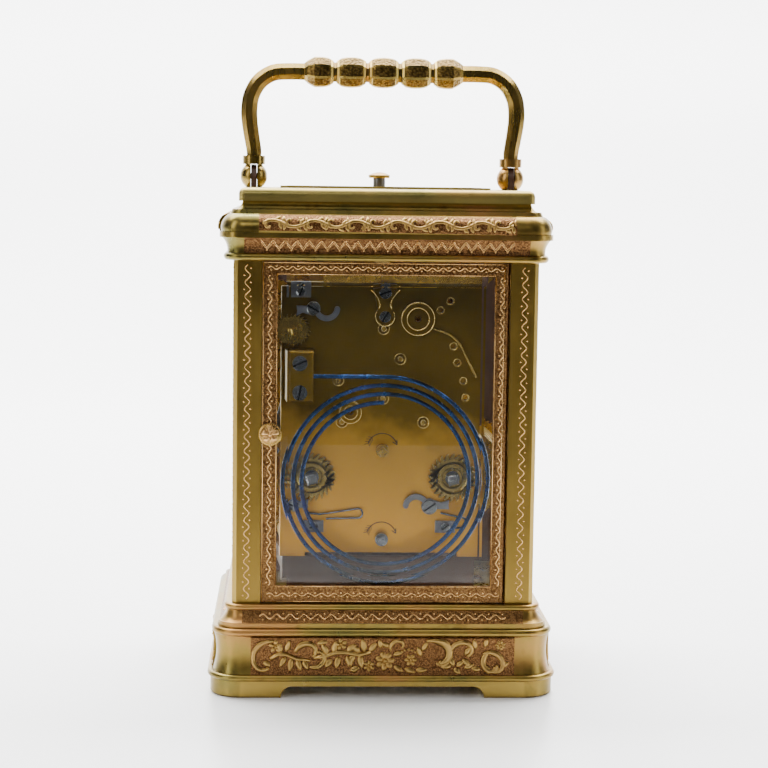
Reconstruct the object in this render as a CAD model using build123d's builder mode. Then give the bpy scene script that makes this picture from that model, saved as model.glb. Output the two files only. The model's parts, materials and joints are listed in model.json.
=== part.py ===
from build123d import *
import os
from math import acos, cos, hypot, pi, radians, sin, sqrt, tan

# Carriage clock: a glazed brass case with a hinged rear door, a folding handle and a repeat
# button, around a two-train striking movement with an alarm and a platform escapement.
# Frame: origin at the middle of the underside, +Z up, -Y towards the rear door, +Y the dial.

os.makedirs("parts", exist_ok=True)

# ---------------------------------------------------------------- driving dimensions (mm)
case_width = 86.0            # over the corner pillars
case_depth = 74.0
plan_radius = 3.0            # corner radius of the mouldings at the pillar line
pillar_size = 8.0
pillar_chamfer = 1.2
base_height = 26.0
window_height = 97.5         # between base and cornice
cornice_height = 16.5        # bead, cavetto, ovolo and neck
slab_height = 3.7            # top slab
panel_proud = 0.6            # engraved panels stand this far out of the mouldings
base_panel_inset = 5.6       # from the pillar line to the end of a base panel
top_panel_inset = 7.1
seam = 0.05                  # assembly clearance between fixed pieces

glass_thickness = 2.2
glass_inset = 2.2            # outer glass face behind the pillar face
glass_bevel = 3.0
glass_bevel_depth = 0.8
groove_depth = 1.0

door_gap = 0.2               # between the door and the pillar beside it
door_height_gap = 0.3
door_thickness = 3.0
door_stile = 4.3
door_top_rail = 3.7
door_bottom_rail = 4.8
door_rebate = 1.4            # glass bearing behind the door's lip
door_lip = 0.8
door_pin_radius = 0.7
running_clearance = 0.05     # radial, for pivots and pins
knob_radius = 3.25

handle_pivot_inset = 4.8     # pivot centre inside the pillar face
handle_pivot_height = 3.3    # above the slab
handle_ball_radius = 4.0
handle_arm_radius = 2.6      # over the corners of the octagonal arm
handle_bar_height = 30.8     # bar centre above the pivots
handle_bar_radius = 3.0
handle_bulb_radius = 4.3
handle_bulb_pitch = 9.6
handle_bulb_count = 5
handle_corner_radius = 9.0
handle_arm_flare = 1.3       # the arms bow outwards by this much
tongue_thickness = 1.6
tongue_radius = 3.4
tongue_depth = 2.5           # let into the slab
handle_pin_radius = 0.9

button_offset = 21.5         # behind the dial, from the middle of the case
button_stem_radius = 1.9
button_cap_radius = 3.3
button_lift = 3.15           # underside of the cap above the slab
button_cap_height = 1.8
button_stem_length = 14.0

# Movement, placed from its centre arbor
centre_height = 57.1         # centre arbor above the base
plate_half_width = 28.3
plate_below = 45.2           # from the centre arbor down to the lower edge
plate_above = 32.4
plate_thickness = 2.4
back_plate_face = -21.0      # outer face of the back plate
plate_distance = 31.2        # between the plates
barrel_radius = 14.0
barrel_wall = 0.8
alarm_barrel_radius = 6.5
alarm_barrel_length = 10.0
pivot_radius = 0.6
arbor_radius = 1.0
winding_arbor_radius = 2.1
winding_square = 2.9
winding_reach = 6.5          # squares stand this far out of the back plate
backlash = 0.12              # at the pitch line of each gear pair
pressure_angle = 25.0
ratchet_teeth = 24
ratchet_radius = 7.1
ratchet_depth = 0.9
ratchet_thickness = 1.3
ratchet_hub = 0.6            # height of the raised ring round its bore
alarm_ratchet_radius = 4.7
ratchet_gap = 0.3            # between the back plate and the steelwork on it
gong_wire_radius = 0.63
gong_plane = -29.0
gong_radius = 29.6
gong_step = 1.23             # each half turn is this much tighter
gong_half_turns = 6
platform_thickness = 2.9
dial_thickness = 1.2
dial_gap = 4.4               # between the dial and the front glass

# ---------------------------------------------------------------- derived places
half_width = case_width / 2
half_depth = case_depth / 2
pillar_x = half_width - pillar_size / 2
pillar_y = half_depth - pillar_size / 2
window_top = base_height + window_height
slab_bottom = window_top + cornice_height
slab_top = slab_bottom + slab_height
pivot_x = half_width - handle_pivot_inset
pivot_z = slab_top + handle_pivot_height
cz = base_height + centre_height
plate_bottom = cz - plate_below
plate_top = cz + plate_above
back_plate_inner = back_plate_face + plate_thickness
front_plate_inner = back_plate_inner + plate_distance
front_plate_face = front_plate_inner + plate_thickness
steel_face = back_plate_face - ratchet_gap
glass_outer_x = half_width - glass_inset
glass_outer_y = half_depth - glass_inset
dial_front = glass_outer_y - glass_thickness - dial_gap
door_half_width = half_width - pillar_size - door_gap
door_bottom = base_height + door_height_gap
door_top = window_top - door_height_gap
door_pivot_x = door_half_width - door_thickness / 2
door_pivot_y = -half_depth + door_thickness / 2


def save(piece, node):
    """Label a finished piece and write its STEP file."""
    piece.part.label = node
    export_step(piece.part, f"parts/{node}.step")


def rear(y, x=0.0, z=0.0, turn=0.0):
    """Sketch plane seen from the rear: local x is +X, local y is +Z, extrusion runs to -Y."""
    return Plane(
        origin=(x, y, z),
        x_dir=(cos(radians(turn)), 0, sin(radians(turn))),
        z_dir=(0, -1, 0),
    )


def turning_plane(x, z):
    """Half-section plane of a piece turned on an axis along Y: local x is radius, local y is Y."""
    return Plane(origin=(x, 0, z), x_dir=(1, 0, 0), z_dir=(0, 0, 1))


def turned(points, x, z):
    """Solid turned about the Y axis line through (x, z) from (radius, y) points."""
    with BuildPart() as piece:
        with BuildSketch(turning_plane(x, z)):
            with BuildLine():
                Polyline(*points, close=True)
            make_face()
        revolve(axis=Axis((x, 0, z), (0, 1, 0)))
    return piece.part


def dome(radius, rise):
    """Height of a shallow dome above its edge, halfway between its edge and its middle."""
    ball = (radius**2 + rise**2) / (2 * rise)
    return rise - ball + sqrt(ball**2 - radius**2 / 4)


def arbor(x, z, y_rear, y_front, body_radius=arbor_radius, pivot_length=plate_thickness):
    """Plain arbor along Y with a pivot at each end, running in the plates."""
    points = [
        (0, y_rear - pivot_length),
        (pivot_radius, y_rear - pivot_length),
        (pivot_radius, y_rear + 0.2),
        (body_radius, y_rear + 0.2),
        (body_radius, y_front - 0.2),
        (pivot_radius, y_front - 0.2),
        (pivot_radius, y_front + pivot_length),
        (0, y_front + pivot_length),
    ]
    return turned(points, x, z)


# ---------------------------------------------------------------- gear geometry
def mesh_distance(teeth_a, teeth_b, module):
    """Distance between the centres of two meshing gears."""
    return module * (teeth_a + teeth_b) / 2


def meet(first, reach_first, second, reach_second, side):
    """Point at given distances from two others, on the chosen side of the line joining them."""
    dx = second[0] - first[0]
    dz = second[1] - first[1]
    gap = hypot(dx, dz)
    along = (reach_first**2 - reach_second**2 + gap**2) / (2 * gap)
    across = side * sqrt(reach_first**2 - along**2)
    x = first[0] + (along * dx - across * dz) / gap
    z = first[1] + (along * dz + across * dx) / gap
    return x, z


def involute(angle):
    """Involute function of a pressure angle in radians."""
    return tan(angle) - angle


def tooth_half_angle(teeth, module, radius):
    """Half the angle that a tooth fills at a radius."""
    pitch = module * teeth / 2
    base = pitch * cos(radians(pressure_angle))
    at_pitch = pi / (2 * teeth) - backlash / (4 * pitch)
    working = max(radius, base)
    return at_pitch + involute(radians(pressure_angle)) - involute(acos(base / working))


def gear_points(teeth, module, toward, gap_toward):
    """Outline of a gear whose tooth, or gap, points along the angle `toward` in degrees."""
    pitch = module * teeth / 2
    flank = [pitch - module, pitch - 0.35 * module, pitch + 0.2 * module, pitch + 0.8 * module]
    step = 2 * pi / teeth
    first = radians(toward) + (step / 2 if gap_toward else 0)
    points = []
    for tooth in range(teeth):
        middle = first + tooth * step
        for radius in flank:
            angle = middle - tooth_half_angle(teeth, module, radius)
            points.append((radius * cos(angle), radius * sin(angle)))
        for radius in reversed(flank):
            angle = middle + tooth_half_angle(teeth, module, radius)
            points.append((radius * cos(angle), radius * sin(angle)))
    return points


def gear(place, teeth, module, y_rear, y_front, toward_place, gap=False, rim=0.0, bore=0.0):
    """Spur gear at `place` in mesh towards another centre; a rim width gives it five spokes."""
    dx = toward_place[0] - place[0]
    dz = toward_place[1] - place[1]
    toward = Vector(dx, dz, 0)
    angle = Vector(1, 0, 0).get_signed_angle(toward, Vector(0, 0, 1))
    root = module * teeth / 2 - module
    with BuildPart() as piece:
        with BuildSketch(rear(y_front, place[0], place[1])):
            with BuildLine():
                Polyline(*gear_points(teeth, module, angle, gap), close=True)
            make_face()
            if rim:
                hub = 2.6
                inner = root - rim
                Circle(inner, mode=Mode.SUBTRACT)
                Circle(hub)
                with PolarLocations((hub + inner) / 2, 5):
                    Rectangle(inner - hub + 0.8, 1.2)
            if bore:
                Circle(bore, mode=Mode.SUBTRACT)
        extrude(amount=y_front - y_rear)
    return piece.part


def at(dx, dz):
    """Absolute (x, z) of a place measured from the centre arbor."""
    return dx, cz + dz


# Train layout, measured from the centre arbor
centre = at(0, 0)
time_barrel_at = at(20.5, -22.9)
strike_barrel_at = at(-20.5, -22.9)
alarm_barrel_at = at(-25.8, 19.8)
great_teeth = 84
pinion_leaves = 12
great_module = 0.38
second_teeth = 64
second_module = 0.36
centre_teeth = 72
centre_module = 0.30
third_teeth = 60
third_module = 0.28
contrate_at = at(0, 20.4)
great_reach = mesh_distance(great_teeth, pinion_leaves, great_module)
second_reach = mesh_distance(second_teeth, pinion_leaves, second_module)
centre_reach = mesh_distance(centre_teeth, pinion_leaves, centre_module)
third_reach = mesh_distance(third_teeth, pinion_leaves, third_module)
second_at = meet(time_barrel_at, great_reach, centre, second_reach, -1)
third_at = meet(centre, centre_reach, contrate_at, third_reach, -1)

strike_teeth = 56
strike_module = 0.36
strike_second_at = meet(strike_barrel_at, great_reach, centre, second_reach, 1)
fly_reach = mesh_distance(strike_teeth, pinion_leaves, strike_module)
fly_at = (strike_second_at[0] - 1.2, strike_second_at[1] + sqrt(fly_reach**2 - 1.2**2))

setting_at = at(0, -14.9)
cannon_teeth = 12
minute_teeth = 36
hour_pinion_teeth = 10
hour_teeth = 40
setting_reach = centre[1] - setting_at[1]
minute_module = 2 * setting_reach / (cannon_teeth + minute_teeth)
hour_module = 2 * setting_reach / (hour_pinion_teeth + hour_teeth)
alarm_setting_at = at(0, -41.0)

# Levels of the wheels along Y
great_level = front_plate_inner - 4.4
second_level = front_plate_inner - 2.0
centre_level = -2.0
third_level = 4.0
strike_level = front_plate_inner - 2.0
contrate_face = -8.0         # teeth of the contrate wheel stand to the rear of this
wheel_thickness = 1.0
great_thickness = 1.4

# ---------------------------------------------------------------- case mouldings
profile_plane = Plane(origin=(0, -half_depth, 0), x_dir=(0, -1, 0), z_dir=(-1, 0, 0))
side_profile_plane = Plane(origin=(half_width, 0, 0), x_dir=(1, 0, 0), z_dir=(0, -1, 0))
core_overlap = 1.0           # mouldings reach this far into the core of the casting

foot_height = 4.8
foot_out = 6.1
foot_bead = 0.85
foot_bead_top = 6.6
foot_arch_height = 3.4
foot_arch_inset = 14.1       # from the pillar line to the end of the foot's arch
foot_arch_radius = 3.2
waist_out = 4.4
shoulder_out = 5.1
base_panel_top = base_height - 8.5
base_step_bottom = base_height - 6.5
base_step_top = base_height - 5.0
base_cove_top = base_height - 1.7
step_out = 4.0
cove_out = 3.5
neck_out = 1.5
base_bead = 1.0
waist_height = (foot_bead_top + base_panel_top) / 2
base_deck = 4.0
case_wall = 9.0              # from the pillar line to the inside of the base
bottom_plate_thickness = 1.4
bottom_plate_height = 3.6
case_screw_radius = 1.5
case_screw_head = 3.0
case_screw_sink = 6.0
case_screw_depth = 10.0      # into the pillar


def base_panel_face(plane):
    """Section of the engraved panel that stands proud of the plinth."""
    with BuildSketch(plane) as section:
        with BuildLine():
            Polyline((0, base_panel_top - 0.3), (0, foot_bead_top), (foot_out - 0.3, foot_bead_top))
            ThreePointArc(
                (foot_out - 0.3, foot_bead_top),
                (waist_out + panel_proud, waist_height),
                (shoulder_out + panel_proud, base_panel_top - 0.3),
            )
            Line((shoulder_out + panel_proud, base_panel_top - 0.3), (0, base_panel_top - 0.3))
        make_face()
    return section.sketch


with BuildPart() as base_moulding:
    with BuildLine() as half_plan:
        FilletPolyline(
            (0, -half_depth),
            (half_width, -half_depth),
            (half_width, half_depth),
            (0, half_depth),
            radius=plan_radius,
        )
    with BuildSketch(profile_plane):
        with BuildLine():
            Polyline((-core_overlap, 0), (foot_out - 0.5, 0), (foot_out, 0.5), (foot_out, foot_height))
            ThreePointArc(
                (foot_out, foot_height),
                (foot_out + foot_bead, (foot_height + foot_bead_top) / 2),
                (foot_out, foot_bead_top),
            )
            Line((foot_out, foot_bead_top), (foot_out - 0.7, foot_bead_top))
            ThreePointArc(
                (foot_out - 0.7, foot_bead_top),
                (waist_out, waist_height),
                (shoulder_out, base_panel_top),
            )
            ThreePointArc(
                (shoulder_out, base_panel_top),
                (shoulder_out + 0.6, (base_panel_top + base_step_bottom) / 2),
                (shoulder_out, base_step_bottom),
            )
            Polyline(
                (shoulder_out, base_step_bottom),
                (step_out, base_step_bottom),
                (step_out, base_step_top),
                (cove_out, base_step_top),
            )
            ThreePointArc((cove_out, base_step_top), (2.1, base_step_top + 1.5), (neck_out, base_cove_top))
            ThreePointArc(
                (neck_out, base_cove_top),
                (neck_out + 0.75 * base_bead, (base_cove_top + base_height) / 2),
                (neck_out, base_height),
            )
            Polyline((neck_out, base_height), (-core_overlap, base_height), (-core_overlap, 0))
        make_face()
    sweep(path=half_plan.line)
    mirror(about=Plane.YZ)
    with BuildSketch():
        RectangleRounded(case_width - core_overlap, case_depth - core_overlap, plan_radius - 0.5)
    extrude(amount=base_height)
    extrude(base_panel_face(profile_plane), amount=half_width - base_panel_inset, both=True)
    extrude(base_panel_face(side_profile_plane), amount=half_depth - base_panel_inset, both=True)
    mirror(about=Plane.XZ)
    mirror(about=Plane.YZ)
    with BuildSketch():
        Rectangle(case_width - 2 * case_wall, case_depth - 2 * case_wall)
    extrude(amount=base_height - base_deck, mode=Mode.SUBTRACT)
    with BuildSketch(Plane.XZ):
        RectangleRounded(case_width - 2 * foot_arch_inset, 2 * foot_arch_height, foot_arch_radius)
    extrude(amount=case_depth, both=True, mode=Mode.SUBTRACT)
    with BuildSketch(Plane.YZ):
        RectangleRounded(case_depth - 2 * foot_arch_inset, 2 * foot_arch_height, foot_arch_radius)
    extrude(amount=case_width, both=True, mode=Mode.SUBTRACT)
    with Locations((0, 0, base_height)):
        with GridLocations(2 * pillar_x, 2 * pillar_y, 2, 2):
            Hole(case_screw_radius + seam)
    with GridLocations(2 * pillar_x, 2 * pillar_y, 2, 2):
        Cylinder(
            case_screw_head + seam,
            case_screw_sink,
            align=(Align.CENTER, Align.CENTER, Align.MIN),
            mode=Mode.SUBTRACT,
        )
    with Locations((door_pivot_x, door_pivot_y, base_height)):
        Hole(door_pin_radius + running_clearance, depth=2.5)
save(base_moulding, "base_moulding")

with BuildPart() as bottom_plate:
    with BuildSketch(Plane.XY.offset(bottom_plate_height)):
        Rectangle(case_width - 2 * case_wall - 2 * seam, case_depth - 2 * case_wall - 2 * seam)
    extrude(amount=bottom_plate_thickness)
save(bottom_plate, "bottom_plate")

# Cornice levels and projections from the pillar line
lower_bead_top = window_top + 2.15
top_cove_top = window_top + 6.4
fillet_top = window_top + 7.9
ovolo_top = slab_bottom - 3.5
top_step_top = slab_bottom - 2.3
lower_bead_out = 1.85
lower_bead = 1.0
cove_mid_out = 2.3
fillet_out = 3.4
fillet_lip = 0.6
ovolo_out = 4.0
ovolo_foot_out = 3.5
ovolo_head_out = 1.0
slab_out = -1.3
slab_neck_out = -2.4
top_core_out = -2.8
slab_round = 1.8
top_opening_width = 56.8
top_opening_depth = 33.0
top_opening_middle = -3.7
bezel_width = 1.8
bezel_height = 0.6
top_glass_bearing = 1.2
handle_ball_clearance = 0.25
ovolo_mid = (fillet_top + ovolo_top) / 2
cove_mid = (lower_bead_top + top_cove_top) / 2 + 0.6


def top_panel_face(plane):
    """Section of the engraved panel that stands proud of the ovolo."""
    with BuildSketch(plane) as section:
        with BuildLine():
            Line((0, fillet_top), (ovolo_foot_out + panel_proud, fillet_top))
            ThreePointArc(
                (ovolo_foot_out + panel_proud, fillet_top),
                (ovolo_out + 0.2 * panel_proud, ovolo_mid),
                (ovolo_head_out + 0.5 * panel_proud, ovolo_top),
            )
            Polyline((ovolo_head_out + 0.5 * panel_proud, ovolo_top), (0, ovolo_top), (0, fillet_top))
        make_face()
    return section.sketch


with BuildPart() as top_moulding:
    with BuildSketch(profile_plane):
        with BuildLine():
            Line((-core_overlap, window_top), (lower_bead_out, window_top))
            ThreePointArc(
                (lower_bead_out, window_top),
                (lower_bead_out + lower_bead, (window_top + lower_bead_top) / 2),
                (lower_bead_out, lower_bead_top),
            )
            ThreePointArc(
                (lower_bead_out, lower_bead_top),
                (cove_mid_out, cove_mid),
                (fillet_out, top_cove_top),
            )
            Polyline(
                (fillet_out, top_cove_top),
                (fillet_out + fillet_lip, top_cove_top),
                (fillet_out + fillet_lip, fillet_top),
                (ovolo_foot_out, fillet_top),
            )
            ThreePointArc(
                (ovolo_foot_out, fillet_top),
                (ovolo_out - panel_proud, ovolo_mid),
                (ovolo_head_out, ovolo_top),
            )
            Polyline(
                (ovolo_head_out, ovolo_top),
                (ovolo_head_out - 0.5, top_step_top),
                (ovolo_head_out - 1.6, top_step_top),
            )
            ThreePointArc(
                (ovolo_head_out - 1.6, top_step_top),
                (slab_neck_out + 0.7, top_step_top + 0.8),
                (slab_neck_out, slab_bottom),
            )
            Polyline(
                (slab_neck_out, slab_bottom),
                (top_core_out, slab_bottom),
                (top_core_out, window_top),
                (-core_overlap, window_top),
            )
        make_face()
    sweep(path=half_plan.line)
    mirror(about=Plane.YZ)
    with BuildSketch(Plane.XY.offset(window_top)):
        RectangleRounded(case_width + 2 * slab_neck_out, case_depth + 2 * slab_neck_out, 0.5)
    extrude(amount=slab_bottom - window_top)
    extrude(top_panel_face(profile_plane), amount=half_width - top_panel_inset, both=True)
    extrude(top_panel_face(side_profile_plane), amount=half_depth - top_panel_inset, both=True)
    mirror(about=Plane.XZ)
    mirror(about=Plane.YZ)
    with BuildSketch(Plane.XY.offset(window_top)):
        Rectangle(case_width - 2 * case_wall, case_depth - 2 * case_wall)
    extrude(amount=slab_bottom - window_top, mode=Mode.SUBTRACT)
    with BuildSketch(Plane.XY.offset(slab_bottom)):
        RectangleRounded(case_width + 2 * slab_out, case_depth + 2 * slab_out, plan_radius + slab_out)
    extrude(amount=slab_height)
    fillet(top_moulding.faces().sort_by(Axis.Z)[-1].edges(), slab_round)
    with BuildSketch(Plane.XY.offset(slab_top)):
        with Locations((0, top_opening_middle)):
            Rectangle(top_opening_width + 2 * bezel_width, top_opening_depth + 2 * bezel_width)
    extrude(amount=bezel_height)
    with BuildSketch(Plane.XY.offset(slab_bottom)):
        with Locations((0, top_opening_middle)):
            Rectangle(top_opening_width, top_opening_depth)
    extrude(amount=slab_height + bezel_height, mode=Mode.SUBTRACT)
    with BuildSketch(Plane.XY.offset(slab_bottom)):
        with Locations((0, top_opening_middle)):
            Rectangle(
                top_opening_width + 2 * top_glass_bearing,
                top_opening_depth + 2 * top_glass_bearing,
            )
    extrude(amount=glass_thickness, mode=Mode.SUBTRACT)
    with Locations((0, button_offset, slab_top)):
        Hole(button_stem_radius + 2 * running_clearance, depth=slab_height)
    with Locations((-pivot_x, 0, pivot_z), (pivot_x, 0, pivot_z)):
        Sphere(handle_ball_radius + handle_ball_clearance, mode=Mode.SUBTRACT)
    with Locations((-pivot_x, 0, slab_top), (pivot_x, 0, slab_top)):
        Box(
            tongue_thickness + 2 * seam,
            2 * tongue_radius + 2 * seam,
            2 * (tongue_depth + seam),
            mode=Mode.SUBTRACT,
        )
    with Locations((door_pivot_x, door_pivot_y, window_top + 1.2)):
        Cylinder(door_pin_radius + running_clearance, 2.6, mode=Mode.SUBTRACT)
save(top_moulding, "top_moulding")

side_glass_x = glass_outer_x - glass_thickness / 2
side_glass_half = half_depth - pillar_size
front_glass_y = glass_outer_y - glass_thickness / 2
front_glass_half = half_width - pillar_size
upright = (Align.CENTER, Align.CENTER, Align.MIN)


def pillar(side_x, side_y):
    """Corner pillar with grooves for the glass that it holds."""
    groove = 2 * (groove_depth + seam)
    slot = glass_thickness + 2 * seam
    with BuildPart() as piece:
        with Locations((side_x * pillar_x, side_y * pillar_y, base_height)):
            Box(pillar_size, pillar_size, window_height, align=upright)
        outward = Vector(side_x, side_y, 0)
        corner = piece.edges().filter_by(Axis.Z).sort_by(lambda edge: edge.center().dot(outward))[-1]
        chamfer(corner, pillar_chamfer)
        with Locations((side_x * side_glass_x, side_y * side_glass_half, base_height)):
            Box(slot, groove, 2 * window_height + 1, mode=Mode.SUBTRACT)
        if side_y > 0:
            with Locations((side_x * front_glass_half, front_glass_y, base_height)):
                Box(groove, slot, 2 * window_height + 1, mode=Mode.SUBTRACT)
        with Locations((side_x * pillar_x, side_y * pillar_y, base_height)):
            Cylinder(case_screw_radius + seam, 2 * case_screw_depth + 1, mode=Mode.SUBTRACT)
    return piece


for place, side_x, side_y in (
    ("rear_left", -1, -1),
    ("rear_right", 1, -1),
    ("front_left", -1, 1),
    ("front_right", 1, 1),
):
    save(pillar(side_x, side_y), f"pillar_{place}")

with BuildPart() as case_screws:
    with GridLocations(2 * pillar_x, 2 * pillar_y, 2, 2):
        with Locations((0, 0, case_screw_sink - 2.4)):
            Cylinder(case_screw_head, 2.4, align=upright)
        with Locations((0, 0, case_screw_sink - 0.2)):
            Cylinder(case_screw_radius, base_height - case_screw_sink + case_screw_depth, align=upright)
        with Locations((0, 0, case_screw_sink - 2.4)):
            Box(2 * case_screw_head, 0.8, 1.2, mode=Mode.SUBTRACT)
save(case_screws, "case_screws")


# ---------------------------------------------------------------- glasses
def bevelled_pane(plane, width, height, bevel=glass_bevel):
    """Pane with a bevelled outer face; the plane is its inner face, looking outwards."""
    with BuildPart() as pane:
        with BuildSketch(plane):
            Rectangle(width, height)
        extrude(amount=glass_thickness)
        outer = pane.faces().sort_by(lambda face: face.center().dot(plane.z_dir))[-1]
        chamfer(outer.edges(), bevel, glass_bevel_depth, reference=outer)
    return pane


window_middle = (base_height + window_top) / 2
pane_height = window_height - 2 * seam
side_pane_width = 2 * (side_glass_half + groove_depth) - 2 * seam
front_pane_width = 2 * (front_glass_half + groove_depth) - 2 * seam
groove_bevel = glass_bevel + groove_depth
for name, sign in (("side_glass_left", -1), ("side_glass_right", 1)):
    inner_face = Plane(
        origin=(sign * (glass_outer_x - glass_thickness), 0, window_middle),
        x_dir=(0, sign, 0),
        z_dir=(sign, 0, 0),
    )
    save(bevelled_pane(inner_face, side_pane_width, pane_height, groove_bevel), name)

front_plane = Plane(
    origin=(0, glass_outer_y - glass_thickness, window_middle), x_dir=(-1, 0, 0), z_dir=(0, 1, 0)
)
save(bevelled_pane(front_plane, front_pane_width, pane_height, groove_bevel), "front_glass")

top_pane_plane = Plane(origin=(0, top_opening_middle, slab_bottom), x_dir=(1, 0, 0), z_dir=(0, 0, 1))
save(
    bevelled_pane(
        top_pane_plane,
        top_opening_width + 2 * top_glass_bearing - 2 * seam,
        top_opening_depth + 2 * top_glass_bearing - 2 * seam,
        glass_bevel + top_glass_bearing,
    ),
    "top_glass",
)

# ---------------------------------------------------------------- rear door
door_height = door_top - door_bottom
aperture_half_width = door_half_width - door_stile
aperture_bottom = door_bottom + door_bottom_rail
aperture_top = door_top - door_top_rail
aperture_middle = (aperture_bottom + aperture_top) / 2
aperture_height = aperture_top - aperture_bottom
knob_x = -(door_half_width - door_stile / 2 - 0.25)
knob_z = base_height + 48.6
knob_stem = 1.1
knob_dome_edge = knob_radius - 0.5
knob_dome = 0.6

with BuildPart() as door_frame:
    with BuildSketch(rear(-half_depth + door_thickness, 0, (door_bottom + door_top) / 2)):
        Rectangle(2 * door_half_width, door_height)
    extrude(amount=door_thickness)
    hinge_edges = door_frame.edges().filter_by(Axis.Z).group_by(Axis.X)[-1]
    fillet(hinge_edges, door_thickness / 2 - 0.05)
    with BuildSketch(rear(-half_depth + door_thickness, 0, aperture_middle)):
        Rectangle(2 * aperture_half_width, aperture_height)
    extrude(amount=door_thickness, mode=Mode.SUBTRACT)
    with BuildSketch(rear(-half_depth + door_thickness, 0, aperture_middle)):
        Rectangle(2 * (aperture_half_width + door_rebate), aperture_height + 2 * door_rebate)
    extrude(amount=door_thickness - door_lip, mode=Mode.SUBTRACT)
    with Locations((door_pivot_x, door_pivot_y, door_bottom), (door_pivot_x, door_pivot_y, door_top)):
        Cylinder(door_pin_radius, 12, mode=Mode.SUBTRACT)
    with Locations(rear(-half_depth, knob_x, knob_z)):
        Cylinder(knob_stem, 4, mode=Mode.SUBTRACT)
save(door_frame, "door_frame")

door_pane_plane = rear(-half_depth + door_lip + glass_thickness, 0, aperture_middle)
save(
    bevelled_pane(
        door_pane_plane,
        2 * (aperture_half_width + door_rebate - seam),
        aperture_height + 2 * (door_rebate - seam),
        glass_bevel + door_rebate,
    ),
    "door_glass",
)

with BuildPart() as door_pivots:
    with Locations((door_pivot_x, door_pivot_y, door_bottom - door_height_gap - 1.8)):
        Cylinder(door_pin_radius, 7.8, align=upright)
    with Locations((door_pivot_x, door_pivot_y, door_top - 6)):
        Cylinder(door_pin_radius, 6 + door_height_gap + 1.8, align=upright)
save(door_pivots, "door_pivots")

with BuildPart() as door_knob:
    with BuildSketch(turning_plane(knob_x, knob_z)):
        with BuildLine():
            Polyline(
                (0, -half_depth + door_lip),
                (knob_stem, -half_depth + door_lip),
                (knob_stem, -half_depth),
                (knob_radius - 0.5, -half_depth),
                (knob_radius, -half_depth - 0.5),
                (knob_radius, -half_depth - 1.1),
                (knob_dome_edge, -half_depth - 1.4),
            )
            ThreePointArc(
                (knob_dome_edge, -half_depth - 1.4),
                (knob_dome_edge / 2, -half_depth - 1.4 - dome(knob_dome_edge, knob_dome)),
                (0, -half_depth - 1.4 - knob_dome),
            )
            Line((0, -half_depth - 1.4 - knob_dome), (0, -half_depth + door_lip))
        make_face()
    revolve(axis=Axis((knob_x, 0, knob_z), (0, 1, 0)))
save(door_knob, "door_knob")

# ---------------------------------------------------------------- folding handle
collar_bottom = 3.5
collar_top = 6.0
collar_radius = 3.3
cheek_clearance = 0.2
arm_foot = pivot_z + collar_top - 0.5
arm_bow_height = pivot_z + 15.0
bar_rise = pivot_z + handle_bar_height

with BuildPart() as handle:
    with BuildLine(Plane.XZ) as arm_path:
        FilletPolyline(
            (pivot_x, arm_foot),
            (pivot_x, arm_foot + 4.5),
            (pivot_x + handle_arm_flare, arm_bow_height),
            (pivot_x + handle_arm_flare, bar_rise),
            (0, bar_rise),
            radius=[10, 10, handle_corner_radius],
        )
    with BuildSketch(Plane.XY.offset(arm_foot)):
        with Locations((pivot_x, 0)):
            RegularPolygon(handle_arm_radius, 8, rotation=22.5)
    sweep(path=arm_path.line)
    with Locations((pivot_x, 0, pivot_z)):
        Sphere(handle_ball_radius)
    with Locations((pivot_x, 0, pivot_z + collar_bottom - 0.4)):
        Cylinder(collar_radius - 0.7, 0.8, align=upright)
    with Locations((pivot_x, 0, pivot_z + collar_bottom)):
        Cylinder(collar_radius, collar_top - collar_bottom, align=upright)
    with Locations((pivot_x, 0, pivot_z + (collar_bottom - 6) / 2)):
        Box(
            tongue_thickness + 2 * cheek_clearance,
            3 * handle_ball_radius,
            6 + collar_bottom,
            mode=Mode.SUBTRACT,
        )
    with Locations(Plane(origin=(pivot_x, 0, pivot_z), z_dir=(1, 0, 0))):
        Cylinder(handle_pin_radius + running_clearance, 3 * handle_ball_radius, mode=Mode.SUBTRACT)
    mirror(about=Plane.YZ)
    with Locations(Plane(origin=(0, 0, bar_rise), z_dir=(1, 0, 0))):
        Cylinder(handle_bar_radius, handle_bulb_count * handle_bulb_pitch)
    for number in range(handle_bulb_count):
        offset = (number - (handle_bulb_count - 1) / 2) * handle_bulb_pitch
        with Locations((offset, 0, bar_rise)):
            Sphere(handle_bulb_radius)
save(handle, "handle")

with BuildPart() as handle_posts:
    for side in (-1, 1):
        with Locations((side * pivot_x, 0, slab_top - tongue_depth)):
            Box(
                tongue_thickness,
                2 * tongue_radius,
                tongue_depth + pivot_z - slab_top,
                align=upright,
            )
        with Locations(Plane(origin=(side * pivot_x, 0, pivot_z), z_dir=(1, 0, 0))):
            Cylinder(tongue_radius, tongue_thickness)
            Cylinder(handle_pin_radius, 2 * handle_ball_radius - 0.6)
save(handle_posts, "handle_posts")

# ---------------------------------------------------------------- repeat button
cap_bevel = 0.3
cap_bottom = slab_top + button_lift
cap_edge = cap_bottom + 0.9
cap_top = cap_bottom + button_cap_height
with BuildPart() as repeat_button:
    with BuildSketch(Plane.XZ.offset(-button_offset)):
        with BuildLine():
            Polyline(
                (0, cap_bottom - button_stem_length),
                (button_stem_radius, cap_bottom - button_stem_length),
                (button_stem_radius, cap_bottom),
                (button_cap_radius - cap_bevel, cap_bottom),
                (button_cap_radius, cap_bottom + cap_bevel),
                (button_cap_radius, cap_edge),
            )
            ThreePointArc(
                (button_cap_radius, cap_edge),
                (button_cap_radius / 2, cap_edge + dome(button_cap_radius, cap_top - cap_edge)),
                (0, cap_top),
            )
            Line((0, cap_top), (0, cap_bottom - button_stem_length))
        make_face()
    revolve(axis=Axis((0, button_offset, 0), (0, 0, 1)))
save(repeat_button, "repeat_button")

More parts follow.
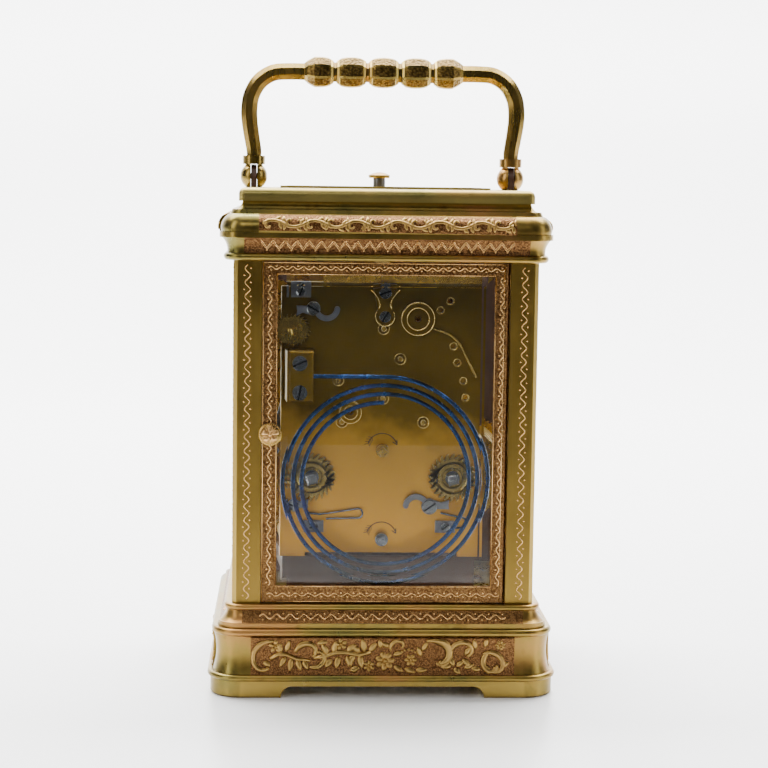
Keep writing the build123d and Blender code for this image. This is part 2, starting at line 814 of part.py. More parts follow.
# ---------------------------------------------------------------- movement frame
seat_side = 27.5
seat_rear = back_plate_face + 1.0
seat_arch_width = 30.0
seat_arch_height = 6.0
plate_foot_width = 6.0
plate_foot_height = 1.2
platform_left = -17.5
post_radius = 2.4
post_places = (at(-25.2, -42.2), at(25.2, -42.2), at(-14.5, 28.2), at(24.5, 28.2))
boss_at = at(9.84, 23.4)
boss_hole = 0.9
hammer_pivot_at = at(-26.0, 1.0)
plate_pivots = (second_at, centre, third_at, contrate_at, strike_second_at, fly_at, hammer_pivot_at)
bush_at = at(-9.4, -3.9)
small_holes = (
    at(16.4, 25.9),
    at(19.2, 28.6),
    at(20.3, 15.5),
    at(21.5, 10.7),
    at(23.3, 5.4),
    at(24.0, 0.5),
    bush_at,
)
small_hole = 0.85
oil_sink_radius = 1.5
oil_sink_depth = 0.7

with BuildPart() as movement_seat:
    with BuildSketch(Plane.XY.offset(base_height)):
        with Locations((0, (seat_rear + front_plate_face) / 2)):
            Rectangle(2 * seat_side, front_plate_face - seat_rear)
    extrude(amount=plate_bottom - plate_foot_height - base_height)
    with BuildSketch(Plane.YZ):
        with Locations(((seat_rear + front_plate_face) / 2, base_height)):
            Rectangle(seat_arch_width - 8, 2 * seat_arch_height)
    extrude(amount=case_width, both=True, mode=Mode.SUBTRACT)
save(movement_seat, "movement_seat")


def plate(outer_face, inner_face, through_holes):
    """Movement plate with two feet, arbor holes and pivot holes with oil sinks."""
    with BuildPart() as piece:
        with BuildSketch(rear(inner_face, 0, 0)):
            with Locations((0, (plate_bottom + plate_top) / 2)):
                Rectangle(2 * plate_half_width, plate_top - plate_bottom)
            with Locations(
                (-plate_half_width + plate_foot_width / 2, plate_bottom - plate_foot_height / 2),
                (plate_half_width - plate_foot_width / 2, plate_bottom - plate_foot_height / 2),
            ):
                Rectangle(plate_foot_width, plate_foot_height)
            for place, radius in through_holes:
                with Locations(place):
                    Circle(radius, mode=Mode.SUBTRACT)
            for place in plate_pivots:
                with Locations(place):
                    Circle(pivot_radius + running_clearance, mode=Mode.SUBTRACT)
        extrude(amount=inner_face - outer_face)
        for place in plate_pivots:
            with Locations(rear(outer_face, place[0], place[1])):
                Cone(
                    pivot_radius + running_clearance,
                    oil_sink_radius,
                    oil_sink_depth,
                    align=(Align.CENTER, Align.CENTER, Align.MAX),
                    mode=Mode.SUBTRACT,
                )
    return piece


winding_hole = winding_arbor_radius + running_clearance
alarm_arbor_radius = 1.5
alarm_hole = alarm_arbor_radius + running_clearance
setting_arbor_radius = 1.2
setting_hole = setting_arbor_radius + running_clearance
back_holes = (
    (time_barrel_at, winding_hole),
    (strike_barrel_at, winding_hole),
    (alarm_barrel_at, alarm_hole),
    (setting_at, setting_hole),
    (alarm_setting_at, setting_hole),
    *((place, small_hole) for place in small_holes),
)
back_holes_with_boss = (*back_holes, (boss_at, boss_hole))
save(plate(back_plate_face, back_plate_inner, back_holes_with_boss), "back_plate")

front_holes = (
    (time_barrel_at, winding_hole),
    (strike_barrel_at, winding_hole),
    (setting_at, setting_hole),
    (alarm_setting_at, setting_hole),
    (centre, arbor_radius + running_clearance),
)
with BuildPart() as front_plate:
    with BuildSketch(rear(front_plate_face, 0, 0)):
        with Locations((0, (plate_bottom + plate_top) / 2)):
            Rectangle(2 * plate_half_width, plate_top - plate_bottom)
        for place, radius in front_holes:
            with Locations(place):
                Circle(radius, mode=Mode.SUBTRACT)
        for place in (second_at, third_at, contrate_at, strike_second_at, fly_at):
            with Locations(place):
                Circle(pivot_radius + running_clearance, mode=Mode.SUBTRACT)
    extrude(amount=plate_thickness)
save(front_plate, "front_plate")

with BuildPart() as plate_pillars:
    for place in post_places:
        with Locations(rear(front_plate_inner, *place)):
            Cylinder(post_radius, plate_distance, align=upright)
save(plate_pillars, "plate_pillars")

with BuildPart() as platform:
    with BuildSketch(Plane.XY.offset(plate_top)):
        with BuildLine():
            Polyline(
                (platform_left, back_plate_face),
                (plate_half_width, back_plate_face),
                (plate_half_width, front_plate_face),
                (platform_left + 5, front_plate_face),
                close=True,
            )
        make_face()
    extrude(amount=platform_thickness)

# Contrate wheel, escape pinion and the line of the escapement across the platform
contrate_module = 0.22
contrate_teeth = 74
contrate_radius = contrate_module * contrate_teeth / 2
escape_leaves = 10
escape_pitch = contrate_module * escape_leaves / 2
escape_y = contrate_face - 1.2 * contrate_module - escape_pitch
lever_y = escape_y + 6.6
balance_y = lever_y + 7.4
escapement_level = plate_top + platform_thickness + 1.6
staff_radius = 0.4
escape_radius = 4.2
platform_face = plate_top + platform_thickness
staff_pivot_radius = 0.2
staff_pivot_length = 1.0

with platform:
    with Locations((0, escape_y, platform_face)):
        Hole(staff_radius + 0.6, depth=platform_thickness)
    with Locations((0, lever_y, platform_face), (0, balance_y, platform_face)):
        Hole(staff_pivot_radius + running_clearance, depth=staff_pivot_length + 0.2)
save(platform, "platform")

# ---------------------------------------------------------------- pieces on the back plate
gong_centre = at(0, -22.4)
gong_top = gong_centre[1] + gong_radius
block_left = -27.3
block_width = 7.0
block_right = block_left + block_width
gong_grip = 3.0              # length of the gong held in its block
block_bottom = cz - 0.2
block_height = 14.6
block_face = gong_plane - 1.2
bush_thickness = 1.6
dish_depth = 0.7
cock_thickness = 1.2
cock_foot = at(0.3, 30.9)
cock_boss = at(0.3, 24.0)
cock_boss_radius = 2.9
cock_neck = 1.8
cock_flare = 3.4
screw_head = 0.8
screw_edge = 0.15
slot_width = 0.45
slot_depth = 0.4
plate_screw_radius = 1.8
block_screw_radius = 2.2
block_screws = (at(-24.2, 11.0), at(-24.2, 2.6))
stop_width = 5.8
stop_height = 3.4
stop_thickness = 1.2
stop_places = (at(18.6, -37.4), at(-19.8, -37.4), at(-24.0, 31.0))

with BuildPart() as gong:
    with BuildLine(Plane.XZ.offset(-gong_plane)) as gong_path:
        Line((block_right - gong_grip, gong_top), (0, gong_top))
        height = gong_top
        turn = 1
        for half_turn in range(gong_half_turns):
            radius = gong_radius - half_turn * gong_step
            ThreePointArc(
                (0, height),
                (turn * radius, height - turn * radius),
                (0, height - 2 * turn * radius),
            )
            height = height - 2 * turn * radius
            turn = -turn
    with BuildSketch(Plane(origin=(block_right - gong_grip, gong_plane, gong_top), z_dir=(1, 0, 0))):
        Circle(gong_wire_radius)
    sweep(path=gong_path.line)
save(gong, "gong")

with BuildPart() as gong_block:
    with BuildSketch(rear(back_plate_face, block_left, block_bottom)):
        Rectangle(block_width, block_height, align=(Align.MIN, Align.MIN))
    extrude(amount=back_plate_face - block_face)
    chamfer(gong_block.faces().sort_by(Axis.Y)[0].edges(), 0.5)
    with Locations(Plane(origin=(block_right, gong_plane, gong_top), z_dir=(1, 0, 0))):
        Cylinder(gong_wire_radius, 2 * gong_grip, mode=Mode.SUBTRACT)
save(gong_block, "gong_block")

with BuildPart() as back_cock:
    with BuildSketch(rear(back_plate_face)):
        with Locations(cock_boss):
            Circle(cock_boss_radius)
        with BuildLine():
            Polyline(
                (cock_boss[0] - cock_neck, cock_boss[1]),
                (cock_boss[0] + cock_neck, cock_boss[1]),
                (cock_foot[0] + cock_flare, cock_foot[1] + 1.2),
                (cock_foot[0], cock_foot[1] + 1.5),
                (cock_foot[0] - cock_flare, cock_foot[1] + 1.2),
                close=True,
            )
        make_face()
    extrude(amount=cock_thickness)
save(back_cock, "back_cock")

with BuildPart() as rear_bushes:
    for place, outer, dish, hole in ((boss_at, 4.9, 3.1, boss_hole), (bush_at, 3.3, 1.9, small_hole)):
        with BuildSketch(rear(back_plate_face, *place)):
            Circle(outer)
            Circle(hole, mode=Mode.SUBTRACT)
        extrude(amount=bush_thickness)
        with BuildSketch(rear(back_plate_face - bush_thickness + dish_depth, *place)):
            Circle(dish)
        extrude(amount=bush_thickness, mode=Mode.SUBTRACT)
save(rear_bushes, "rear_bushes")


def slotted_screw(place, face, head_radius, tilt, shank=0.0, shank_depth=0.0):
    """Cheese-head screw seen from the rear, seated on the level `face`."""
    with BuildPart() as piece:
        with BuildSketch(rear(face, *place)):
            Circle(head_radius)
        extrude(amount=screw_head)
        chamfer(piece.faces().sort_by(Axis.Y)[0].edges(), screw_edge)
        if shank_depth:
            with BuildSketch(rear(face + shank_depth, *place)):
                Circle(shank)
            extrude(amount=shank_depth)
        with BuildSketch(rear(face - screw_head + slot_depth, *place)):
            Rectangle(3 * head_radius, slot_width, rotation=tilt)
        extrude(amount=slot_depth, mode=Mode.SUBTRACT)
    return piece.part


time_click_at = at(13.9, -31.4)
strike_click_at = at(-25.6, -31.2)
alarm_click_at = at(-20.4, 26.2)
click_bore = 0.9
nose_width = 0.9
click_face = steel_face - ratchet_thickness
click_screws = (
    (time_click_at, 2.05, 35),
    (strike_click_at, 1.6, -20),
    (alarm_click_at, 1.9, -30),
)

with BuildPart() as rear_screws:
    add(slotted_screw(cock_foot, back_plate_face - cock_thickness, plate_screw_radius, 20))
    add(slotted_screw(cock_boss, back_plate_face - cock_thickness, plate_screw_radius - 0.1, 60))
    for place, tilt in zip(block_screws, (25, 80)):
        add(slotted_screw(place, block_face, block_screw_radius, tilt))
    for place, tilt in zip(stop_places, (40, 10, 70)):
        add(slotted_screw(place, back_plate_face - stop_thickness, 1.3, tilt))
    for place, head, tilt in click_screws:
        shank_length = back_plate_face - click_face + 0.1
        add(slotted_screw(place, click_face - 0.1, head, tilt, click_bore - 0.05, shank_length))
save(rear_screws, "rear_screws")

with BuildPart() as steel_stops:
    for place in stop_places:
        with BuildSketch(rear(back_plate_face, *place)):
            Rectangle(stop_width, stop_height)
        extrude(amount=stop_thickness)
save(steel_stops, "steel_stops")

spring_wire = 0.3
spring_level = steel_face - 0.4


def wire_spring(points, bend):
    """Spring wire on the back plate through the given places, with rounded bends."""
    with BuildPart() as piece:
        with BuildLine(Plane.XZ.offset(-spring_level)) as path:
            FilletPolyline(*points, radius=bend)
        start = path.line @ 0
        with BuildSketch(Plane(origin=start, z_dir=path.line % 0)):
            Circle(spring_wire)
        sweep(path=path.line)
    return piece.part


time_spring_route = (at(21.6, -37.8), at(24.8, -37.6), at(24.6, -34.9), at(17.2, -33.35))
strike_spring_route = (
    at(-22.3, -33.4),
    at(-18.0, -33.9),
    at(-5.6, -32.0),
    at(-5.6, -34.9),
    at(-16.2, -35.2),
)
hammer_spring_route = (at(14.4, 20.5), at(21.0, 18.5), at(27.0, 6.5))
with BuildPart() as plate_springs:
    add(wire_spring(time_spring_route, 1.1))
    add(wire_spring(strike_spring_route, 1.2))
    add(wire_spring(hammer_spring_route, 9.0))
save(plate_springs, "plate_springs")


# ---------------------------------------------------------------- winding work
def ratchet_outline(tip, root, lead):
    """Outline of a saw-toothed wheel with a steep face at the angle `lead` in degrees."""
    points = []
    for tooth in range(ratchet_teeth):
        angle = radians(lead) + 2 * pi * tooth / ratchet_teeth
        points.append((root * cos(angle - 0.01), root * sin(angle - 0.01)))
        points.append((tip * cos(angle), tip * sin(angle)))
    return points


def ratchet(place, tip, bore, hub, lead):
    """Ratchet wheel with a raised hub ring."""
    with BuildPart() as piece:
        with BuildSketch(rear(steel_face, *place)):
            with BuildLine():
                Polyline(*ratchet_outline(tip, tip - ratchet_depth, lead), close=True)
            make_face()
        extrude(amount=ratchet_thickness)
        with BuildSketch(rear(steel_face - ratchet_thickness, *place)):
            Circle(hub)
        extrude(amount=ratchet_hub)
        with BuildSketch(rear(steel_face, *place)):
            Circle(bore)
        extrude(amount=ratchet_thickness + ratchet_hub, mode=Mode.SUBTRACT)
    return piece.part


def winding_arbor(place, radius, square, rear_end, front_end):
    """Winding arbor with a square for the key at its rear end."""
    square_end = steel_face - ratchet_thickness - ratchet_hub
    with BuildPart() as piece:
        with BuildSketch(rear(front_end, *place)):
            Circle(radius)
        extrude(amount=front_end - square_end)
        with BuildSketch(rear(square_end, *place)):
            Rectangle(square, square, rotation=12)
        extrude(amount=square_end - rear_end)
        chamfer(piece.faces().sort_by(Axis.Y)[0].edges(), 0.3)
    return piece


click_lead = -95.0           # direction of the click's nose from the middle of its ratchet
square_tip = back_plate_face - winding_reach
for name, place in (("time", time_barrel_at), ("strike", strike_barrel_at)):
    save(
        winding_arbor(place, winding_arbor_radius, winding_square, square_tip, front_plate_face),
        f"{name}_arbor",
    )
    with BuildPart() as ratchet_wheel:
        add(ratchet(place, ratchet_radius, winding_arbor_radius, 4.2, click_lead))
    save(ratchet_wheel, f"{name}_ratchet")

alarm_barrel_rear = back_plate_inner + 1.2
alarm_barrel_front = alarm_barrel_rear + alarm_barrel_length
alarm_arbor = winding_arbor(
    alarm_barrel_at, alarm_arbor_radius, 1.9, back_plate_face - 5.0, alarm_barrel_front + 2.0
)
with alarm_arbor:
    add(ratchet(alarm_barrel_at, alarm_ratchet_radius, alarm_arbor_radius, 2.6, click_lead + 180))
save(alarm_arbor, "alarm_arbor")


def click(pivot_at, wheel_at, tip, boss, turn=0, tail=False):
    """Click with its nose against the steep face of a ratchet tooth, drawn from its own pivot."""
    flip = -1 if turn else 1
    wheel = (flip * (wheel_at[0] - pivot_at[0]), flip * (wheel_at[1] - pivot_at[1]))
    step = 2 * pi / ratchet_teeth
    root = tip - ratchet_depth
    nose = []
    outside = tip + nose_width
    for radius, share in ((outside, 0.15), (root + ratchet_depth / 2, 0.15), (outside, 1.3)):
        angle = radians(click_lead) - share * step
        nose.append((wheel[0] + radius * cos(angle), wheel[1] + radius * sin(angle)))
    with BuildPart() as piece:
        with BuildSketch(rear(steel_face, *pivot_at, turn)):
            Circle(boss)
            with BuildLine():
                Polyline(
                    nose[0],
                    nose[1],
                    nose[2],
                    (0.3, boss),
                    (0.3, -0.7),
                    (nose[0][0] + 0.2, -0.7),
                    close=True,
                )
            make_face()
            if tail:
                with BuildLine(mode=Mode.PRIVATE) as curl:
                    ThreePointArc((-1.0, 1.0), (-4.6, 2.8), (-6.9, 0.2))
                SlotArc(curl.edges()[0], 1.6)
            Circle(click_bore, mode=Mode.SUBTRACT)
        extrude(amount=ratchet_thickness)
    return piece


time_click = click(time_click_at, time_barrel_at, ratchet_radius, 2.3, tail=True)
save(time_click, "time_click")
strike_click = click(strike_click_at, strike_barrel_at, ratchet_radius, 1.8)
save(strike_click, "strike_click")
alarm_click = click(alarm_click_at, alarm_barrel_at, alarm_ratchet_radius, 2.0, 180, tail=True)
save(alarm_click, "alarm_click")

# ---------------------------------------------------------------- barrels
barrel_rear = back_plate_inner + 3.6
drum_front = great_level
drum_end = 1.2
mainspring_core = 6.5


def drum(place, outer, y_rear, y_front, bore):
    """Closed spring barrel, hollow inside, running on its arbor."""
    with BuildPart() as piece:
        with BuildSketch(rear(y_front, *place)):
            Circle(outer)
        extrude(amount=y_front - y_rear)
        with BuildSketch(rear(y_front - drum_end, *place)):
            Circle(outer - barrel_wall)
        extrude(amount=y_front - y_rear - 2 * drum_end, mode=Mode.SUBTRACT)
        with BuildSketch(rear(y_front, *place)):
            Circle(bore + running_clearance)
        extrude(amount=y_front - y_rear, mode=Mode.SUBTRACT)
    return piece.part


for name, place, pinion_at in (
    ("time", time_barrel_at, second_at),
    ("strike", strike_barrel_at, strike_second_at),
):
    great_front = great_level + great_thickness
    bore = winding_arbor_radius + running_clearance
    with BuildPart() as barrel:
        add(drum(place, barrel_radius, barrel_rear, drum_front, winding_arbor_radius))
        add(gear(place, great_teeth, great_module, great_level, great_front, pinion_at, bore=bore))
    save(barrel, f"{name}_barrel")

with BuildPart() as alarm_barrel:
    add(
        drum(
            alarm_barrel_at,
            alarm_barrel_radius,
            alarm_barrel_rear,
            alarm_barrel_front,
            alarm_arbor_radius,
        )
    )
save(alarm_barrel, "alarm_barrel")

# Each mainspring is stood in for by its coiled pack
spring_spaces = (
    (time_barrel_at, mainspring_core, barrel_radius, barrel_rear, drum_front),
    (strike_barrel_at, mainspring_core, barrel_radius, barrel_rear, drum_front),
    (alarm_barrel_at, 3.2, alarm_barrel_radius, alarm_barrel_rear, alarm_barrel_front),
)
with BuildPart() as mainsprings:
    for place, inner, outer, y_rear, y_front in spring_spaces:
        with BuildSketch(rear(y_front - drum_end - 0.5, *place)):
            Circle(outer - barrel_wall - 0.4)
            Circle(inner, mode=Mode.SUBTRACT)
        extrude(amount=y_front - y_rear - 2 * drum_end - 1.0)
save(mainsprings, "mainsprings")


# ---------------------------------------------------------------- going train
def pinion(place, leaves, module, level, length, toward_place):
    """Pinion with a gap towards its wheel, reaching a little past both faces of that wheel."""
    return gear(place, leaves, module, level - 0.6, level + length, toward_place, gap=True)


def wheel(place, teeth, module, level, toward_place):
    """Crossed-out train wheel."""
    front = level + wheel_thickness
    return gear(place, teeth, module, level, front, toward_place, rim=4 * module)


with BuildPart() as second_wheel:
    add(arbor(*second_at, back_plate_inner, front_plate_inner))
    add(pinion(second_at, pinion_leaves, great_module, great_level, 1.8, time_barrel_at))
    add(wheel(second_at, second_teeth, second_module, second_level, centre))
save(second_wheel, "second_wheel")

hand_arbor_radius = 1.2
cannon_rear = front_plate_face + 0.6
cannon_front = cannon_rear + 1.7
minute_level = front_plate_face + 1.0
hour_level = cannon_front + 0.4
hour_hand_face = dial_front + 0.5
hand_thickness = 0.4
hand_root = 0.6               # half widths of a hand at its root, its neck and its point
hand_neck = 0.4
hand_point = 0.25
minute_hand_face = hour_hand_face + 1.1
hour_pipe_radius = 1.9
hand_end = minute_hand_face + hand_thickness + 0.4

with BuildPart() as centre_wheel:
    add(arbor(*centre, back_plate_inner, front_plate_face - plate_thickness / 2))
    with BuildSketch(rear(cannon_rear, *centre)):
        Circle(arbor_radius)
    extrude(amount=cannon_rear - front_plate_inner + 2)
    with BuildSketch(rear(hand_end, *centre)):
        Circle(hand_arbor_radius)
    extrude(amount=hand_end - cannon_rear)
    add(pinion(centre, pinion_leaves, second_module, second_level, 1.4, second_at))
    add(wheel(centre, centre_teeth, centre_module, centre_level, third_at))
    add(gear(centre, cannon_teeth, minute_module, cannon_rear, cannon_front, setting_at, gap=True))
save(centre_wheel, "centre_wheel")

with BuildPart() as third_wheel:
    add(arbor(*third_at, back_plate_inner, front_plate_inner, 0.8))
    add(pinion(third_at, pinion_leaves, centre_module, centre_level, 1.6, centre))
    add(wheel(third_at, third_teeth, third_module, third_level, contrate_at))
save(third_wheel, "third_wheel")

contrate_disc = 0.8
contrate_rim = 0.5


def contrate_tooth():
    """The contrate wheel's topmost tooth, cut as a straight rack tooth."""
    middle = contrate_module * pi / 4 - backlash / 4
    slope = tan(radians(pressure_angle))
    tooth_root = 1.2 * contrate_module
    tooth_tip = 0.8 * contrate_module
    wide = middle + slope * tooth_root
    narrow = middle - slope * tooth_tip
    with BuildPart() as piece:
        with BuildSketch(Plane.XY.offset(contrate_at[1] + contrate_radius - contrate_rim / 2)):
            with BuildLine():
                Polyline(
                    (-wide, contrate_face),
                    (-wide, contrate_face + 0.1),
                    (wide, contrate_face + 0.1),
                    (wide, contrate_face),
                    (narrow, contrate_face - tooth_root - tooth_tip),
                    (-narrow, contrate_face - tooth_root - tooth_tip),
                    close=True,
                )
            make_face()
        extrude(amount=contrate_rim)
    return piece.part


with BuildPart() as contrate_wheel:
    add(arbor(*contrate_at, back_plate_inner, front_plate_inner, 0.8))
    add(pinion(contrate_at, pinion_leaves, third_module, third_level, 1.6, third_at))
    with BuildSketch(rear(contrate_face + contrate_disc, *contrate_at)):
        Circle(contrate_radius + contrate_rim / 2)
        Circle(contrate_radius - 1.2, mode=Mode.SUBTRACT)
        Circle(2.2)
        with PolarLocations(contrate_radius / 2, 4, start_angle=45):
            Rectangle(contrate_radius - 1.6, 1.1)
    extrude(amount=contrate_disc)
    tooth = contrate_tooth()
    wheel_axis = Axis((contrate_at[0], 0, contrate_at[1]), (0, 1, 0))
    add([tooth.rotate(wheel_axis, 360 * number / contrate_teeth) for number in range(contrate_teeth)])
save(contrate_wheel, "contrate_wheel")

# ---------------------------------------------------------------- platform escapement
escape_teeth = 15
escape_thickness = 0.4
escape_root = 3.0
cock_level = escapement_level + 1.3
balance_level = escapement_level + 2.4
balance_radius = 6.5
balance_rim = 0.9
balance_thickness = 0.8
balance_arm = 1.0
roller_radius = 1.4
roller_level = escapement_level + 0.8
pivot_foot = platform_face - staff_pivot_length
balance_cock_level = balance_level + 2.0
cock_plate = 0.9
pinion_low = contrate_at[1] + contrate_radius - 0.8
pinion_high = contrate_at[1] + contrate_radius + 0.8


def upright_rod(x, y, radius, bottom, top):
    """Round rod standing along Z."""
    with BuildPart() as piece:
        with Locations((x, y, bottom)):
            Cylinder(radius, top - bottom, align=upright)
    return piece.part


with BuildPart() as escape_wheel:
    add(upright_rod(0, escape_y, staff_radius, pinion_low - 0.8, cock_level + 0.3))
    with BuildSketch(Plane((0, escape_y, pinion_low))):
        with BuildLine():
            Polyline(*gear_points(escape_leaves, contrate_module, 90, True), close=True)
        make_face()
    extrude(amount=pinion_high - pinion_low)
    with BuildSketch(Plane((0, escape_y, escapement_level))):
        with BuildLine():
            points = []
            for number in range(escape_teeth):
                angle = 2 * pi * number / escape_teeth
                points.append((escape_root * cos(angle), escape_root * sin(angle)))
                points.append((escape_radius * cos(angle + 0.1), escape_radius * sin(angle + 0.1)))
                points.append((escape_radius * cos(angle + 0.14), escape_radius * sin(angle + 0.14)))
                points.append((escape_root * cos(angle + 0.2), escape_root * sin(angle + 0.2)))
            Polyline(*points, close=True)
        make_face()
        with PolarLocations(1.8, 4):
            Circle(0.6, mode=Mode.SUBTRACT)
    extrude(amount=escape_thickness)
save(escape_wheel, "escape_wheel")

pallet_reach = 2.9
pallet_depth = 2.6
fork_length = 4.9
with BuildPart() as lever:
    add(upright_rod(0, lever_y, staff_radius, platform_face + 0.1, cock_level))
    add(upright_rod(0, lever_y, staff_pivot_radius, pivot_foot, cock_level + 0.3))
    with BuildSketch(Plane((0, lever_y, escapement_level))):
        with Locations((0, -0.4)):
            Rectangle(2 * pallet_reach + 0.5, 1.0)
        with Locations((-pallet_reach, -pallet_depth / 2), (pallet_reach, -pallet_depth / 2)):
            Rectangle(0.5, pallet_depth)
        with Locations((0, fork_length / 2)):
            Rectangle(0.8, fork_length)
        with Locations((-0.6, fork_length - 0.4), (0.6, fork_length - 0.4)):
            Rectangle(0.4, 1.0)
    extrude(amount=escape_thickness)
save(lever, "lever")

with BuildPart() as balance:
    add(upright_rod(0, balance_y, staff_radius, platform_face + 0.1, balance_cock_level - 0.1))
    add(upright_rod(0, balance_y, staff_pivot_radius, pivot_foot, balance_cock_level + 0.4))
    add(upright_rod(0, balance_y, roller_radius, roller_level, roller_level + escape_thickness))
    with BuildSketch(Plane((0, balance_y, balance_level))):
        Circle(balance_radius)
        Circle(balance_radius - balance_rim, mode=Mode.SUBTRACT)
        Rectangle(2 * balance_radius - balance_rim, balance_arm)
        Circle(roller_radius)
    extrude(amount=balance_thickness)
save(balance, "balance")

rear_foot = back_plate_face + 1.5
front_foot = front_plate_face - 0.2
from_rear = (Align.CENTER, Align.MIN, Align.MIN)
from_front = (Align.CENTER, Align.MAX, Align.MIN)
with BuildPart() as platform_cocks:
    with Locations((0, rear_foot, platform_face)):
        Box(6, 3.6, cock_level - platform_face, align=from_rear)
    with Locations((0, rear_foot, cock_level)):
        Box(4, lever_y + 1.2 - rear_foot, cock_plate, align=from_rear)
    with Locations((0, front_foot, platform_face)):
        Box(9, 2.8, balance_cock_level - platform_face, align=from_front)
    with Locations((0, front_foot, balance_cock_level)):
        Box(5, front_foot - balance_y + 2, 1.4, align=from_front)
    for place_y, radius, level in (
        (escape_y, staff_radius, cock_level),
        (lever_y, staff_pivot_radius, cock_level),
        (balance_y, staff_pivot_radius, balance_cock_level),
    ):
        with Locations((0, place_y, level)):
            Cylinder(radius + running_clearance, 1.0, mode=Mode.SUBTRACT)
save(platform_cocks, "platform_cocks")

# ---------------------------------------------------------------- motion work and hands
dial_back = dial_front - dial_thickness
setting_front = hour_level + wheel_thickness + 0.8
setting_square = 2.0
setting_boss_radius = 1.9
setting_boss_rear = steel_face - 2.4

with BuildPart() as minute_wheel:
    with BuildSketch(rear(setting_front, *setting_at)):
        Circle(setting_arbor_radius)
    extrude(amount=setting_front - steel_face)
    with BuildSketch(rear(steel_face, *setting_at)):
        Circle(setting_boss_radius)
    extrude(amount=steel_face - setting_boss_rear)
    with BuildSketch(rear(setting_boss_rear, *setting_at)):
        Rectangle(setting_square, setting_square, rotation=45)
    extrude(amount=2.4)
    add(gear(setting_at, minute_teeth, minute_module, minute_level, minute_level + 0.9, centre))
    add(
        gear(
            setting_at,
            hour_pinion_teeth,
            hour_module,
            minute_level + 0.9,
            hour_level + wheel_thickness + 0.4,
            centre,
            gap=True,
        )
    )
save(minute_wheel, "minute_wheel")

with BuildPart() as hour_wheel:
    add(gear(centre, hour_teeth, hour_module, hour_level, hour_level + wheel_thickness, setting_at))
    with BuildSketch(rear(hour_hand_face + hand_thickness, *centre)):
        Circle(hour_pipe_radius)
    extrude(amount=hour_hand_face + hand_thickness - hour_level)
    with BuildSketch(rear(hour_hand_face + hand_thickness, *centre)):
        Circle(hand_arbor_radius + running_clearance)
    extrude(amount=20, mode=Mode.SUBTRACT)
save(hour_wheel, "hour_wheel")


def hand(place, face, length, ring, bore, clock_angle, spade):
    """Blued hand with a spade towards its tip; the angle is clockwise from twelve at the dial."""
    with BuildPart() as piece:
        with BuildSketch(rear(face + hand_thickness, *place, clock_angle)):
            Circle(ring)
            with BuildLine():
                Polyline(
                    (-hand_root, 0),
                    (-hand_neck, length - 3 * spade),
                    (-spade, length - 2.2 * spade),
                    (-hand_point, length - 0.8 * spade),
                    (0, length),
                    (hand_point, length - 0.8 * spade),
                    (spade, length - 2.2 * spade),
                    (hand_neck, length - 3 * spade),
                    (hand_root, 0),
                    close=True,
                )
            make_face()
            Circle(bore, mode=Mode.SUBTRACT)
        extrude(amount=hand_thickness)
    return piece


hour_angle = 305
minute_angle = 60
save(hand(centre, hour_hand_face, 14.0, 3.0, hour_pipe_radius, hour_angle, 1.9), "hour_hand")
save(hand(centre, minute_hand_face, 21.0, 2.2, hand_arbor_radius, minute_angle, 1.3), "minute_hand")

alarm_hand_boss = 1.7
alarm_hand_length = 6.8
alarm_front = dial_front + 1.4
with BuildPart() as alarm_setting_arbor:
    with BuildSketch(rear(alarm_front, *alarm_setting_at)):
        Circle(setting_arbor_radius)
    extrude(amount=alarm_front - steel_face)
    with BuildSketch(rear(steel_face, *alarm_setting_at)):
        Circle(setting_boss_radius)
    extrude(amount=steel_face - setting_boss_rear)
    with BuildSketch(rear(setting_boss_rear, *alarm_setting_at)):
        Rectangle(setting_square, setting_square, rotation=20)
    extrude(amount=2.0)
    with BuildSketch(rear(dial_front + 0.9, *alarm_setting_at)):
        Circle(alarm_hand_boss)
        with Locations((0, alarm_hand_length / 2)):
            Rectangle(2 * hand_neck, alarm_hand_length)
    extrude(amount=hand_thickness)
save(alarm_setting_arbor, "alarm_setting_arbor")

dial_foot_places = (at(-22.0, -38.0), at(22.0, -38.0), at(-22.0, 28.0), at(22.0, 28.0))
with BuildPart() as dial:
    with BuildSketch(rear(dial_front, 0, window_middle)):
        Rectangle(2 * front_glass_half - 2 * seam, window_height - 2 * seam)
    extrude(amount=dial_thickness)
    for place in dial_foot_places:
        with Locations(rear(dial_back, *place)):
            Cylinder(1.0, dial_back - front_plate_face - seam, align=upright)
    for place, radius in ((centre, hour_pipe_radius + 0.3), (alarm_setting_at, setting_arbor_radius + 0.2)):
        with Locations(rear(dial_front, *place)):
            Cylinder(radius, 2 * dial_thickness + 1, mode=Mode.SUBTRACT)
save(dial, "dial")

# ---------------------------------------------------------------- striking work
with BuildPart() as strike_wheel:
    add(arbor(*strike_second_at, back_plate_inner, front_plate_inner))
    add(pinion(strike_second_at, pinion_leaves, great_module, great_level, 1.8, strike_barrel_at))
    add(wheel(strike_second_at, strike_teeth, strike_module, strike_level, fly_at))
save(strike_wheel, "strike_wheel")

fly_blade = 4.5
fly_length = 8.0
fly_thickness = 0.5
fly_middle = 4.5
with BuildPart() as fly:
    add(arbor(*fly_at, back_plate_inner, front_plate_inner, 0.8))
    add(pinion(fly_at, pinion_leaves, strike_module, strike_level, 1.4, strike_second_at))
    with Locations((fly_at[0], fly_middle, fly_at[1])):
        Box(2 * fly_blade, fly_length, fly_thickness)
save(fly, "fly")

